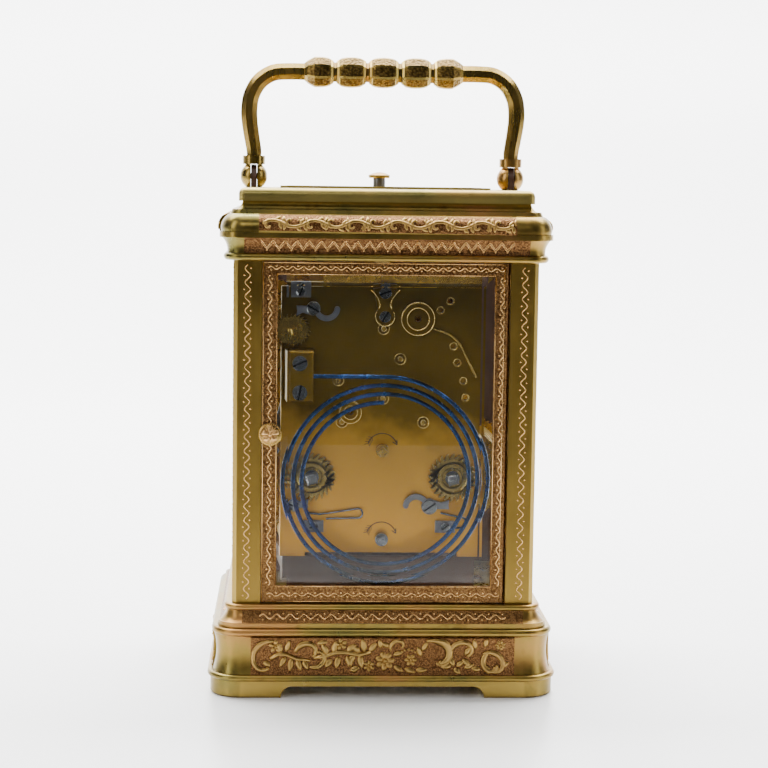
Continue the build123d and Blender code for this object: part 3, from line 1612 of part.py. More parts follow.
hammer_arm_level = back_plate_inner + 1.2
hammer_arm = 1.2             # thickness of the arm
hammer_boss = 1.6
hammer_shaft = 0.8
hammer_head_at = at(-30.6, -14.0)
hammer_head_radius = 1.1
hammer_head_front = gong_plane + 2.5
hammer_head_length = 4.0
hammer_pivot_end = back_plate_inner + 6.0
with BuildPart() as hammer:
    with BuildSketch(rear(hammer_arm_level + hammer_arm)):
        with BuildLine():
            Polyline(
                (hammer_pivot_at[0] - 1.5, hammer_pivot_at[1] - 0.5),
                (hammer_pivot_at[0] + 1.5, hammer_pivot_at[1] + 0.5),
                (hammer_head_at[0] + 0.9, hammer_head_at[1] - 0.4),
                (hammer_head_at[0] - 0.9, hammer_head_at[1] + 0.2),
                close=True,
            )
        make_face()
        with Locations(hammer_pivot_at):
            Circle(hammer_boss)
        with Locations(hammer_head_at):
            Circle(hammer_head_radius)
    extrude(amount=hammer_arm)
    with BuildSketch(rear(hammer_arm_level, *hammer_head_at)):
        Circle(hammer_shaft)
    extrude(amount=hammer_arm_level - gong_plane)
    with BuildSketch(rear(hammer_head_front, *hammer_head_at)):
        Circle(hammer_head_radius)
    extrude(amount=hammer_head_length)
    with BuildSketch(rear(hammer_pivot_end, *hammer_pivot_at)):
        Circle(pivot_radius)
    extrude(amount=hammer_pivot_end - back_plate_inner + plate_thickness - 0.8)
save(hammer, "hammer")
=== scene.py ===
"""A carriage clock of gilt brass and bevelled glass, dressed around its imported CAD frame."""
import json
import random
from math import atan2, cos, hypot, pi, radians, sin

import bmesh
import bpy
from mathutils import Matrix, Vector
from mathutils.kdtree import KDTree


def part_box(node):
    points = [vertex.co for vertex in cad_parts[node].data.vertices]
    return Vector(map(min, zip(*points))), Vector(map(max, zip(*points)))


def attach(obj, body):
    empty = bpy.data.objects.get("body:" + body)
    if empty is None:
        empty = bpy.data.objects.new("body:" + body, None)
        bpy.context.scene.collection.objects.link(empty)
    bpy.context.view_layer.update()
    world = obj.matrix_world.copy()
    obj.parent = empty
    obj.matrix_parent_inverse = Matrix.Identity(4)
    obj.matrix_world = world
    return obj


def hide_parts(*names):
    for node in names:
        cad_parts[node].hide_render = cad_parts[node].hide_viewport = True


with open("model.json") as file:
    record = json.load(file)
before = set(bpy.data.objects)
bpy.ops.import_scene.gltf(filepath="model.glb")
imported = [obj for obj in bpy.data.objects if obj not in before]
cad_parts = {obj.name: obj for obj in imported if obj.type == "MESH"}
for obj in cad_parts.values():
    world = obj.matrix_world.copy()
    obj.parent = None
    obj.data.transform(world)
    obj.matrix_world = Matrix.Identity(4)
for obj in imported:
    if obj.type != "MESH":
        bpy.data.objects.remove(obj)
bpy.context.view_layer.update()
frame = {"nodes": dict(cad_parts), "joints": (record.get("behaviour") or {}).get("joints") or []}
nodes = frame["nodes"]
MM = 0.001


# ---------------------------------------------------------------- places read from the frame
def low(node):
    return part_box(node)[0]


def high(node):
    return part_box(node)[1]


def middle(node):
    return (low(node) + high(node)) / 2


def joint_place(name):
    joint = next(j for j in frame["joints"] if j["name"] == name)
    return Vector(joint["pos_m"])


centre = joint_place("centre_wheel_spin")
plate_face = low("back_plate").y
plate_top = high("front_plate").z
slab_top = high("top_moulding").z - 0.6 * MM
case_x = high("pillar_rear_right").x
case_y = high("pillar_front_right").y
window_low = high("base_moulding").z
window_high = low("top_moulding").z


# ---------------------------------------------------------------- camera, stage and lights
def camera():
    """The photograph's view: from the rear, a little to the left of the door and just above it."""
    yaw, pitch, roll = 0.0474, 0.1039, 0.0131
    ahead = Vector((sin(yaw) * cos(pitch), cos(yaw) * cos(pitch), -sin(pitch)))
    right = Vector((cos(yaw), -sin(yaw), 0.0))
    up = right.cross(ahead)
    rolled_right = right * cos(roll) + up * sin(roll)
    rolled_up = up * cos(roll) - right * sin(roll)
    data = bpy.data.cameras.new("camera")
    data.lens = 91.575
    data.sensor_width = 36.0
    data.clip_start = 0.01
    eye = bpy.data.objects.new("camera", data)
    turn = Matrix((rolled_right, rolled_up, -ahead)).transposed().to_4x4()
    place = Vector((-0.02644, -0.58465, 0.1462))
    eye.matrix_world = Matrix.Translation(place) @ turn
    bpy.context.scene.collection.objects.link(eye)
    bpy.context.scene.camera = eye


def area_light(name, place, aim, width, height, watts, tint=(1.0, 1.0, 1.0)):
    data = bpy.data.lights.new(name, "AREA")
    data.shape = "RECTANGLE"
    data.size = width
    data.size_y = height
    data.energy = watts
    data.color = tint
    lamp = bpy.data.objects.new(name, data)
    lamp.location = place
    lamp.rotation_mode = "QUATERNION"
    lamp.rotation_quaternion = (Vector(aim) - Vector(place)).to_track_quat("-Z", "Y")
    bpy.context.scene.collection.objects.link(lamp)


def shader(name):
    """A new material with its node tree, its Principled shader and its output."""
    material = bpy.data.materials.new(name)
    material.use_nodes = True
    tree = material.node_tree
    return material, tree, tree.nodes["Principled BSDF"]


# ---------------------------------------------------------------- materials
class Graph:
    """Short ways to add and wire shader nodes in one material."""

    def __init__(self, name):
        self.material, self.tree, self.surface = shader(name)
        self.coords = self.node("ShaderNodeTexCoord").outputs["Object"]

    def node(self, kind, **settings):
        made = self.tree.nodes.new(kind)
        for key, value in settings.items():
            setattr(made, key, value)
        return made

    def put(self, socket, value):
        if isinstance(value, bpy.types.NodeSocket):
            self.tree.links.new(value, socket)
        else:
            socket.default_value = value

    def math(self, operation, a, b=0.0, clamp=False):
        made = self.node("ShaderNodeMath", operation=operation, use_clamp=clamp)
        self.put(made.inputs[0], a)
        self.put(made.inputs[1], b)
        return made.outputs[0]

    def noise(self, scale, detail=4.0, roughness=0.55, stretch=None):
        made = self.node("ShaderNodeTexNoise")
        made.inputs["Scale"].default_value = scale
        made.inputs["Detail"].default_value = detail
        made.inputs["Roughness"].default_value = roughness
        source = self.coords
        if stretch:
            mapping = self.node("ShaderNodeMapping")
            self.put(mapping.inputs["Vector"], source)
            mapping.inputs["Scale"].default_value = stretch
            source = mapping.outputs[0]
        self.put(made.inputs["Vector"], source)
        return made.outputs["Fac"]

    def spots(self, scale, smooth=True):
        feature = "SMOOTH_F1" if smooth else "F1"
        made = self.node("ShaderNodeTexVoronoi", feature=feature)
        made.inputs["Scale"].default_value = scale
        self.put(made.inputs["Vector"], self.coords)
        return made.outputs["Distance"]

    def ramp(self, value, *stops):
        """Colour ramp; each stop is (position, colour)."""
        made = self.node("ShaderNodeValToRGB")
        band = made.color_ramp
        while len(band.elements) < len(stops):
            band.elements.new(0.5)
        for element, (position, colour) in zip(band.elements, stops):
            element.position = position
            element.color = (*colour, 1.0)
        self.put(made.inputs["Fac"], value)
        return made.outputs["Color"]

    def fit(self, value, from_low, from_high, to_low=0.0, to_high=1.0):
        made = self.node("ShaderNodeMapRange")
        for socket, number in zip(made.inputs[1:5], (from_low, from_high, to_low, to_high)):
            socket.default_value = number
        self.put(made.inputs[0], value)
        return made.outputs[0]

    def mix(self, share, a, b):
        made = self.node("ShaderNodeMix", data_type="RGBA")
        self.put(made.inputs["Factor"], share)
        for socket, value in ((made.inputs[6], a), (made.inputs[7], b)):
            self.put(socket, value if isinstance(value, bpy.types.NodeSocket) else (*value, 1.0))
        return made.outputs[2]

    def along(self, axis):
        made = self.node("ShaderNodeSeparateXYZ")
        self.put(made.inputs[0], self.coords)
        return made.outputs["XYZ".index(axis)]

    def bump(self, height, strength, distance):
        made = self.node("ShaderNodeBump")
        made.inputs["Strength"].default_value = strength
        made.inputs["Distance"].default_value = distance
        self.put(made.inputs["Height"], height)
        return made.outputs["Normal"]

    def worn_edges(self, narrow, wide):
        """Mask of convex edges from the mesh's own pointiness."""
        made = self.node("ShaderNodeNewGeometry")
        return self.fit(made.outputs["Pointiness"], narrow, wide)

    def metal(self, colour, roughness, normal=None):
        self.surface.inputs["Metallic"].default_value = 1.0
        self.put(self.surface.inputs["Base Color"], colour)
        self.put(self.surface.inputs["Roughness"], roughness)
        if normal:
            self.put(self.surface.inputs["Normal"], normal)
        return self.material


def case_brass(name, light, green, pink, rough=0.30, grain=0.06):
    """Old lacquered brass: olive patches, rosy patches, faint handling marks and brighter edges."""
    g = Graph(name)
    patches = g.noise(38.0, 5.0, 0.6)
    tone = g.ramp(patches, (0.36, green), (0.52, light), (0.66, pink))
    stains = g.fit(g.noise(160.0, 3.0), 0.60, 0.74, 0.0, 0.55)
    colour = g.mix(stains, tone, tuple(0.45 * channel for channel in light))
    colour = g.mix(g.worn_edges(0.52, 0.60), colour, tuple(1.35 * channel for channel in light))
    streaks = g.noise(900.0, 2.0, 0.5, (1.0, 1.0, 0.12))
    mottle = g.math("ADD", patches, g.math("MULTIPLY", streaks, 0.5))
    roughness = g.fit(mottle, 0.4, 1.1, rough - 0.08, rough + 0.14)
    return g.metal(colour, roughness, g.bump(streaks, grain, 0.00004))


def matted_brass(name, light, dark, scale=2600.0, rough=0.42):
    """Punched ground between raised ornament: tiny pits, their bottoms darkened with painted shade."""
    g = Graph(name)
    pits = g.fit(g.spots(scale), 0.10, 0.62)
    patches = g.fit(g.noise(45.0, 4.0), 0.35, 0.65)
    tone = g.mix(patches, light, tuple(0.80 * channel for channel in light))
    # The dark colour mixed into the pits is painted shade.
    colour = g.mix(pits, tone, dark)
    return g.metal(colour, rough, g.bump(g.math("SUBTRACT", 1.0, pits), 0.55, 0.00018))


def steel(name, tint, rough=0.24, grain=(1.0, 1.0, 14.0)):
    g = Graph(name)
    lines = g.noise(700.0, 3.0, 0.6, grain)
    wear = g.noise(120.0, 4.0)
    colour = g.mix(g.fit(wear, 0.45, 0.75), tint, tuple(0.62 * channel for channel in tint))
    roughness = g.fit(wear, 0.3, 0.7, rough - 0.05, rough + 0.12)
    return g.metal(colour, roughness, g.bump(lines, 0.10, 0.00003))


def blued_steel(name):
    g = Graph(name)
    drift = g.noise(70.0, 3.0)
    colour = g.ramp(
        drift, (0.35, (0.012, 0.026, 0.070)), (0.52, (0.020, 0.050, 0.135)), (0.68, (0.028, 0.036, 0.12))
    )
    return g.metal(colour, g.fit(g.noise(500.0, 2.0), 0.3, 0.7, 0.16, 0.30))


def frosted_plate(name):
    """Gilt movement brass with a painted reflection: golden towards the bottom, darker and browner towards
    its top.
    """
    g = Graph(name)
    # Painted reflection: the plate is coloured by height, golden low down where the bright floor is
    # reflected, dark brown high up.
    rise = g.fit(g.along("Z"), low("back_plate").z, plate_top)
    cloud = g.noise(60.0, 4.0)
    shade = g.math("ADD", rise, g.fit(cloud, 0.3, 0.7, -0.07, 0.07))
    colour = g.ramp(
        shade,
        (0.12, (0.60, 0.30, 0.050)), (0.42, (0.46, 0.25, 0.042)),
        (0.54, (0.17, 0.100, 0.016)), (0.95, (0.105, 0.066, 0.012)),
    )
    grain = g.noise(5200.0, 2.0, 0.7)
    return g.metal(colour, g.fit(grain, 0.3, 0.7, 0.36, 0.52), g.bump(grain, 0.22, 0.00005))


def gilt(name, colour, rough=0.26):
    """Turned or cut movement brass with fine machining marks."""
    g = Graph(name)
    wear = g.noise(150.0, 4.0)
    tone = g.mix(g.fit(wear, 0.4, 0.7), colour, tuple(0.68 * channel for channel in colour))
    marks = g.bump(g.noise(1200.0, 2.0), 0.03, 0.00003)
    return g.metal(tone, g.fit(wear, 0.3, 0.7, rough - 0.05, rough + 0.1), marks)


def window_glass(name):
    """Clear plate glass that lets lamps through, with faint dust."""
    g = Graph(name)
    g.surface.inputs["Base Color"].default_value = (0.97, 0.99, 0.97, 1.0)
    g.surface.inputs["Transmission Weight"].default_value = 1.0
    g.surface.inputs["IOR"].default_value = 1.47
    g.put(g.surface.inputs["Roughness"], g.fit(g.noise(90.0, 4.0), 0.55, 0.8, 0.0, 0.012))
    clear = g.node("ShaderNodeBsdfTransparent")
    clear.inputs["Color"].default_value = (0.94, 0.96, 0.94, 1.0)
    blend = g.node("ShaderNodeMixShader")
    path = g.node("ShaderNodeLightPath")
    g.put(blend.inputs[0], path.outputs["Is Shadow Ray"])
    g.put(blend.inputs[1], g.surface.outputs[0])
    g.put(blend.inputs[2], clear.outputs[0])
    output = g.tree.nodes["Material Output"]
    g.put(output.inputs["Surface"], blend.outputs[0])
    return g.material


def enamel(name):
    g = Graph(name)
    g.put(g.surface.inputs["Base Color"], g.mix(g.noise(30.0, 3.0), (0.86, 0.85, 0.80), (0.93, 0.92, 0.88)))
    g.put(g.surface.inputs["Roughness"], g.fit(g.noise(200.0, 2.0), 0.3, 0.7, 0.10, 0.18))
    g.surface.inputs["Coat Weight"].default_value = 0.4
    return g.material


def dark_paint_and_shade(name):
    g = Graph(name)
    # Dark brown paint, made near-black with painted shade on the movement seat, which stands in shadow under
    # the movement.
    colour = g.mix(g.noise(80.0, 4.0), (0.050, 0.022, 0.014), (0.085, 0.040, 0.024))
    g.put(g.surface.inputs["Base Color"], colour)
    g.put(g.surface.inputs["Roughness"], g.fit(g.noise(400.0, 3.0), 0.3, 0.7, 0.32, 0.5))
    return g.material


def ink(name, colour):
    g = Graph(name)
    worn = tuple(1.3 * channel + 0.004 for channel in colour)
    g.put(g.surface.inputs["Base Color"], g.mix(g.noise(300.0, 2.0), colour, worn))
    g.surface.inputs["Roughness"].default_value = 0.3
    return g.material


def stage():
    """A pale sweep that curves up behind the clock, lit by broad soft boxes, with painted shade darkening
    its front towards the camera.
    """
    g = Graph("sweep")
    # Painted shade: the floor grades from dark at the front to pale behind, so the glass reflects less of
    # it.
    pale = g.fit(g.along("Y"), -0.26, -0.12)
    g.put(g.surface.inputs["Base Color"], g.mix(pale, (0.16, 0.16, 0.16), (0.90, 0.90, 0.90)))
    g.surface.inputs["Roughness"].default_value = 0.28
    g.surface.inputs["Specular IOR Level"].default_value = 0.35
    reach, bend, rise, half = 1.1, 0.45, 1.6, 2.6
    front_edge = -0.56
    line = [(front_edge, 0.0), (reach - bend, 0.0)]
    steps = 14
    for step in range(1, steps + 1):
        angle = pi / 2 * step / steps
        line.append((reach - bend + bend * sin(angle), bend - bend * cos(angle)))
    line.append((reach, rise))
    mesh = bmesh.new()
    rows = [[mesh.verts.new((side * half, y, z)) for y, z in line] for side in (-1, 1)]
    for index in range(len(line) - 1):
        quad = (rows[0][index], rows[1][index], rows[1][index + 1], rows[0][index + 1])
        mesh.faces.new(quad).smooth = True
    data = bpy.data.meshes.new("sweep")
    mesh.to_mesh(data)
    data.materials.append(g.material)
    sweep = bpy.data.objects.new("sweep", data)
    bpy.context.scene.collection.objects.link(sweep)

    world = bpy.data.worlds.new("studio")
    world.use_nodes = True
    world.node_tree.nodes["Background"].inputs["Color"].default_value = (0.96, 0.98, 1.0, 1.0)
    world.node_tree.nodes["Background"].inputs["Strength"].default_value = 0.06
    bpy.context.scene.world = world
    area_light("wall", (0.0, 0.35, 1.25), (0, 1.1, 0.40), 2.4, 0.5, 120.0)
    area_light("behind", (0.0, 0.60, 0.95), (0, 0.05, 0), 1.4, 0.4, 26.0)
    area_light("overhead", (-0.1, 0.0, 1.1), (0, 0, 0.1), 0.8, 0.5, 6.0)
    area_light("left", (-0.85, -0.55, 0.50), (0, 0, 0.09), 0.22, 0.9, 4.5, (1.0, 0.97, 0.93))
    area_light("right", (0.95, -0.35, 0.35), (0, 0, 0.09), 0.18, 0.8, 2.6, (0.94, 0.97, 1.0))
    area_light("front", (-0.25, -1.25, 0.85), (0, 0, 0.08), 0.40, 0.26, 3.0)


OLIVE = (0.245, 0.165, 0.038)
GREEN = (0.135, 0.118, 0.033)
ROSE = (0.33, 0.165, 0.050)
MATERIALS = {
    "case": case_brass("case_brass", OLIVE, GREEN, ROSE),
    "slab": case_brass("slab_brass", (0.33, 0.255, 0.075), (0.22, 0.195, 0.062), (0.37, 0.24, 0.070), 0.36),
    "pillar": case_brass(
        "pillar_brass", (0.205, 0.130, 0.028), (0.120, 0.092, 0.024), (0.27, 0.140, 0.038), 0.34
    ),
    "door": matted_brass("door_brass", (0.32, 0.170, 0.062), (0.10, 0.046, 0.014), 2300.0, 0.38),
    "ground": matted_brass("matted_ground", (0.33, 0.165, 0.062), (0.075, 0.032, 0.010)),
    "relief": case_brass(
        "relief_brass", (0.29, 0.178, 0.052), (0.20, 0.142, 0.044), (0.34, 0.182, 0.062), 0.30
    ),
    "wriggle": case_brass("wriggle_brass", (0.60, 0.36, 0.14), (0.50, 0.31, 0.11), (0.64, 0.35, 0.15), 0.22),
    "handle": case_brass(
        "handle_brass", (0.28, 0.185, 0.045), (0.16, 0.125, 0.034), (0.37, 0.195, 0.060), 0.25
    ),
    "knob": case_brass("knob_brass", (0.44, 0.26, 0.10), (0.32, 0.20, 0.07), (0.50, 0.27, 0.12), 0.28),
    "plate": frosted_plate("frosted_plate"),
    "gilt": gilt("gilt_brass", (0.56, 0.36, 0.09)),
    "ratchet": gilt("ratchet_brass", (0.42, 0.29, 0.085), 0.24),
    "edge": gilt("cut_edge_and_highlight_brass", (0.90, 0.66, 0.26), 0.18),
    "platform": gilt("platform_brass", (0.88, 0.52, 0.08), 0.24),
    "steel": steel("grey_steel", (0.20, 0.205, 0.225)),
    "screw": steel("screw_steel", (0.30, 0.31, 0.34), 0.14),
    "click": steel("click_steel", (0.20, 0.20, 0.225), 0.34),
    "spring": steel("spring_steel", (0.14, 0.15, 0.18), 0.20),
    "slot": steel("slot_shadow", (0.010, 0.010, 0.012), 0.5),
    "blued": blued_steel("blued_steel"),
    "glass": window_glass("plate_glass"),
    "enamel": enamel("dial_enamel"),
    "seat": dark_paint_and_shade("dark_seat_paint_and_shade"),
    "numerals": ink("numeral_black", (0.012, 0.012, 0.014)),
    "engraving": ink("engraved_line", (0.045, 0.024, 0.006)),
    "facet": matted_brass("matted_facet", (0.26, 0.165, 0.045), (0.075, 0.045, 0.012), 1700.0, 0.36),
}
NODE_LOOKS = {
    "case": ("base_moulding", "top_moulding", "repeat_button", "bottom_plate"),
    "pillar": ("pillar_front_left", "pillar_front_right", "pillar_rear_left", "pillar_rear_right"),
    "door": ("door_frame",),
    "handle": ("handle", "door_knob"),
    "glass": ("door_glass", "front_glass", "side_glass_left", "side_glass_right", "top_glass"),
    "plate": ("back_plate", "gong_block", "back_cock", "rear_bushes"),
    "gilt": (
        "front_plate", "plate_pillars", "time_barrel", "strike_barrel", "alarm_barrel",
        "second_wheel", "centre_wheel", "third_wheel", "contrate_wheel", "escape_wheel", "balance",
        "platform_cocks", "minute_wheel", "hour_wheel", "strike_wheel", "fly",
    ),
    "ratchet": ("time_ratchet", "strike_ratchet", "alarm_arbor"),
    "platform": ("platform",),
    "steel": (
        "time_arbor", "strike_arbor", "alarm_setting_arbor", "lever", "hammer", "case_screws",
        "door_pivots",
    ),
    "screw": ("rear_screws",),
    "click": ("time_click", "strike_click", "alarm_click", "steel_stops"),
    "spring": ("plate_springs", "mainsprings"),
    "blued": ("gong", "hour_hand", "minute_hand"),
    "enamel": ("dial",),
    "seat": ("movement_seat", "handle_posts"),
}


def dress_nodes():
    for look, names in NODE_LOOKS.items():
        for name in names:
            data = nodes[name].data
            data.materials.clear()
            data.materials.append(MATERIALS[look])


def paint_faces(node, look, wanted):
    """Gives a second material to the faces of a CAD node whose middle and normal pass a test."""
    data = nodes[node].data
    data.materials.append(MATERIALS[look])
    slot = len(data.materials) - 1
    for face in data.polygons:
        if wanted(face.center, face.normal):
            face.material_index = slot


camera()
stage()
dress_nodes()


# ---------------------------------------------------------------- surfaces to lay ornament on
class Side:
    """One of the case's four sides, with u along it, v up and out away from the case."""

    def __init__(self, name, turn):
        self.name = name
        self.along = Vector((cos(turn), sin(turn), 0.0))
        self.out = Vector((sin(turn), -cos(turn), 0.0))

    def point(self, u, v, out):
        return self.along * u + self.out * out + Vector((0, 0, v))


REAR, RIGHT, FRONT, LEFT = (
    Side(name, turn) for name, turn in (("rear", 0.0), ("right", pi / 2), ("front", pi), ("left", -pi / 2))
)
SIDES = (REAR, RIGHT, FRONT, LEFT)


def skin(node, side, u, v):
    """Point and outward normal where a level ray from outside meets a CAD node."""
    start = side.point(u, v, 0.2)
    found, place, normal, _ = nodes[node].ray_cast(start, -side.out)
    if not found:
        raise ValueError(f"no surface of {node} at {u}, {v}")
    return place, normal


def profile(node, side, u, v_low, v_high, steps=28):
    """Rows of (v, distance out, slope of the normal) up a moulding at one place along it."""
    rows = []
    for step in range(steps + 1):
        v = v_low + (v_high - v_low) * step / steps
        place, normal = skin(node, side, u, min(max(v, v_low + 1e-6), v_high - 1e-6))
        rows.append((v, place.dot(side.out), normal.dot(side.out), normal.z))
    return rows


def laid(side, rows, u, v, lift):
    """A point on a moulding's face, raised along its normal."""
    share = (v - rows[0][0]) / (rows[-1][0] - rows[0][0]) * (len(rows) - 1)
    index = max(0, min(len(rows) - 2, int(share)))
    part = max(0.0, min(1.0, share - index))
    a, b = rows[index], rows[index + 1]
    out, level, upward = (a[k] + (b[k] - a[k]) * part for k in (1, 2, 3))
    size = hypot(level, upward) or 1.0
    return side.point(u, v + lift * upward / size, out + lift * level / size)


def make_piece(name, mesh, look, body, smooth=True):
    for face in mesh.faces:
        face.smooth = smooth
    bmesh.ops.recalc_face_normals(mesh, faces=mesh.faces[:])
    data = bpy.data.meshes.new(name)
    mesh.to_mesh(data)
    mesh.free()
    for key in look if isinstance(look, tuple) else (look,):
        data.materials.append(MATERIALS[key])
    piece = bpy.data.objects.new(name, data)
    bpy.context.scene.collection.objects.link(piece)
    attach(piece, body)
    return piece


# ---------------------------------------------------------------- flat relief, then laid on a side
def moved(point, heading, distance):
    """The place at a distance from a flat point, along a heading in radians."""
    return (point[0] + distance * cos(heading), point[1] + distance * sin(heading))


class Relief:
    """Closed relief shapes drawn flat as (u, v, height), in millimetres."""

    SINK = -0.12
    FULL_HALF_WIDTH = 0.22

    def __init__(self, bold=1.0):
        self.points = []
        self.faces = []
        self.bold = bold

    def ribbon(self, path, widths, height):
        """Half-round bar along a path, tapering with the widths; a closed, buried underside."""
        section = ((-1.0, 0.0), (-0.62, 0.72), (0.0, 1.0), (0.62, 0.72), (1.0, 0.0))
        first = len(self.points)
        count = len(path)
        for index, (u, v) in enumerate(path):
            before = path[max(0, index - 1)]
            after = path[min(count - 1, index + 1)]
            du, dv = after[0] - before[0], after[1] - before[1]
            size = hypot(du, dv) or 1.0
            half = widths(index / (count - 1)) / 2 * self.bold
            for across, rise in section:
                lift = self.SINK if rise == 0.0 else rise * height * min(1.0, half / self.FULL_HALF_WIDTH)
                self.points.append((u - dv / size * half * across, v + du / size * half * across, lift))
        wide = len(section)
        for index in range(count - 1):
            row, following = first + index * wide, first + (index + 1) * wide
            for k in range(wide - 1):
                self.faces.append((row + k, row + k + 1, following + k + 1, following + k))
            self.faces.append((row + wide - 1, row, following, following + wide - 1))
        self.faces.append(tuple(first + k for k in reversed(range(wide))))
        last = first + (count - 1) * wide
        self.faces.append(tuple(last + k for k in range(wide)))

    def dome(self, u, v, radius_u, radius_v, height, turn=0.0, sides=10, lobes=0, depth=0.0):
        """Low dome, oval or lobed, on a buried rim."""
        rings = ((1.0, self.SINK / height), (0.86, 0.42), (0.55, 0.84))
        first = len(self.points)
        for share, rise in rings:
            for k in range(sides):
                angle = 2 * pi * k / sides
                reach = share * (1.0 - depth * (0.5 + 0.5 * cos(lobes * angle)))
                a, b = reach * radius_u * cos(angle), reach * radius_v * sin(angle)
                self.points.append(
                    (u + a * cos(turn) - b * sin(turn), v + a * sin(turn) + b * cos(turn), rise * height)
                )
        self.points.append((u, v, height))
        for ring in range(len(rings) - 1):
            for k in range(sides):
                a, b = first + ring * sides, first + (ring + 1) * sides
                self.faces.append((a + k, a + (k + 1) % sides, b + (k + 1) % sides, b + k))
        top = first + 2 * sides
        for k in range(sides):
            self.faces.append((top + k, top + (k + 1) % sides, first + 3 * sides))
        self.faces.append(tuple(first + k for k in reversed(range(sides))))

    def bead(self, u, v, radius=0.33, height=0.22):
        self.dome(u, v, radius, radius, height, sides=8)

    def leaf(self, u, v, heading, length, width, height=0.42):
        """Pointed leaf with a raised midrib and two notched halves."""
        root = (u, v)
        midrib = [moved(root, heading, length * t) for t in (0, 0.25, 0.5, 0.75, 1)]
        self.ribbon(midrib, lambda t: width * (0.25 + 3.3 * t * (1 - t) * (1 - 0.5 * t)), height)
        for side in (-1, 1):
            for share in (0.3, 0.6):
                tip = heading + side * (0.75 - 0.3 * share)
                start = moved(root, heading, 0.6 * length * share)
                size = width * (1.15 - 0.6 * share)
                lobe = [start, moved(start, tip, 0.6 * size), moved(start, tip - side * 0.2, size)]
                self.ribbon(lobe, lambda t: 0.62 * width * (1 - 0.8 * t), height * 0.8)

    def scroll(self, u, v, heading, radius, turns, hand, thick=0.95, height=0.5):
        """A stem that leaves (u, v) and curls inwards to a bead; hand 1 turns anticlockwise."""
        path = [(u, v)]
        steps = max(12, int(26 * turns))
        angle = heading
        for step in range(steps):
            share = step / steps
            bend = radius * (1 - 0.80 * share**0.8)
            move = 2 * pi * turns / steps
            angle += hand * move
            path.append(moved(path[-1], angle, bend * move))
        self.ribbon(path, lambda t: thick * (1.0 - 0.55 * t) * min(1.0, 0.35 + 4 * t), height)
        self.bead(*path[-1], thick * 0.48, height * 1.15)
        return path

    def acanthus(self, path, first, last, count, hand, size):
        """Curved lobes set along a stretch of a stem, on its outer side."""
        for k in range(count):
            index = int((first + (last - first) * k / max(1, count - 1)) * (len(path) - 2))
            a, b = path[index], path[index + 1]
            heading = atan2(b[1] - a[1], b[0] - a[0]) - hand * 0.75
            length = size * (0.65 + 0.35 * sin(pi * (k + 0.5) / count))
            lobe = [moved(a, heading + hand * 0.55 * t, length * t) for t in (0.1, 0.4, 0.7, 1.0)]
            self.ribbon(lobe, lambda t: size * 0.42 * (1 - 0.75 * t), 0.42)

    def flower(self, u, v, radius, petals=5, turn=0.0, height=0.5):
        for k in range(petals):
            angle = turn + 2 * pi * k / petals
            petal = moved((u, v), angle, 0.56 * radius)
            self.dome(*petal, 0.46 * radius, 0.34 * radius, height * 0.8, angle, 9)
        self.dome(u, v, 0.26 * radius, 0.26 * radius, height * 1.2, sides=8)

    def clip(self, low_u, high_u, low_v, high_v):
        """Keeps every point inside the panel that holds the relief."""
        self.points = [
            (min(max(u, low_u), high_u), min(max(v, low_v), high_v), h) for u, v, h in self.points
        ]

    def lay(self, mesh, place):
        """Adds the relief to a mesh; place(u, v, h) gives a point in metres."""
        made = [mesh.verts.new(place(u * MM, v * MM, h * MM)) for u, v, h in self.points]
        for face in self.faces:
            mesh.faces.new([made[k] for k in face])


def leaf_spray(r, places, width=1.25):
    """Leaves at (u, v, heading in degrees, length)."""
    for u, v, heading, length in places:
        r.leaf(u, v, radians(heading), length, width, 0.5)


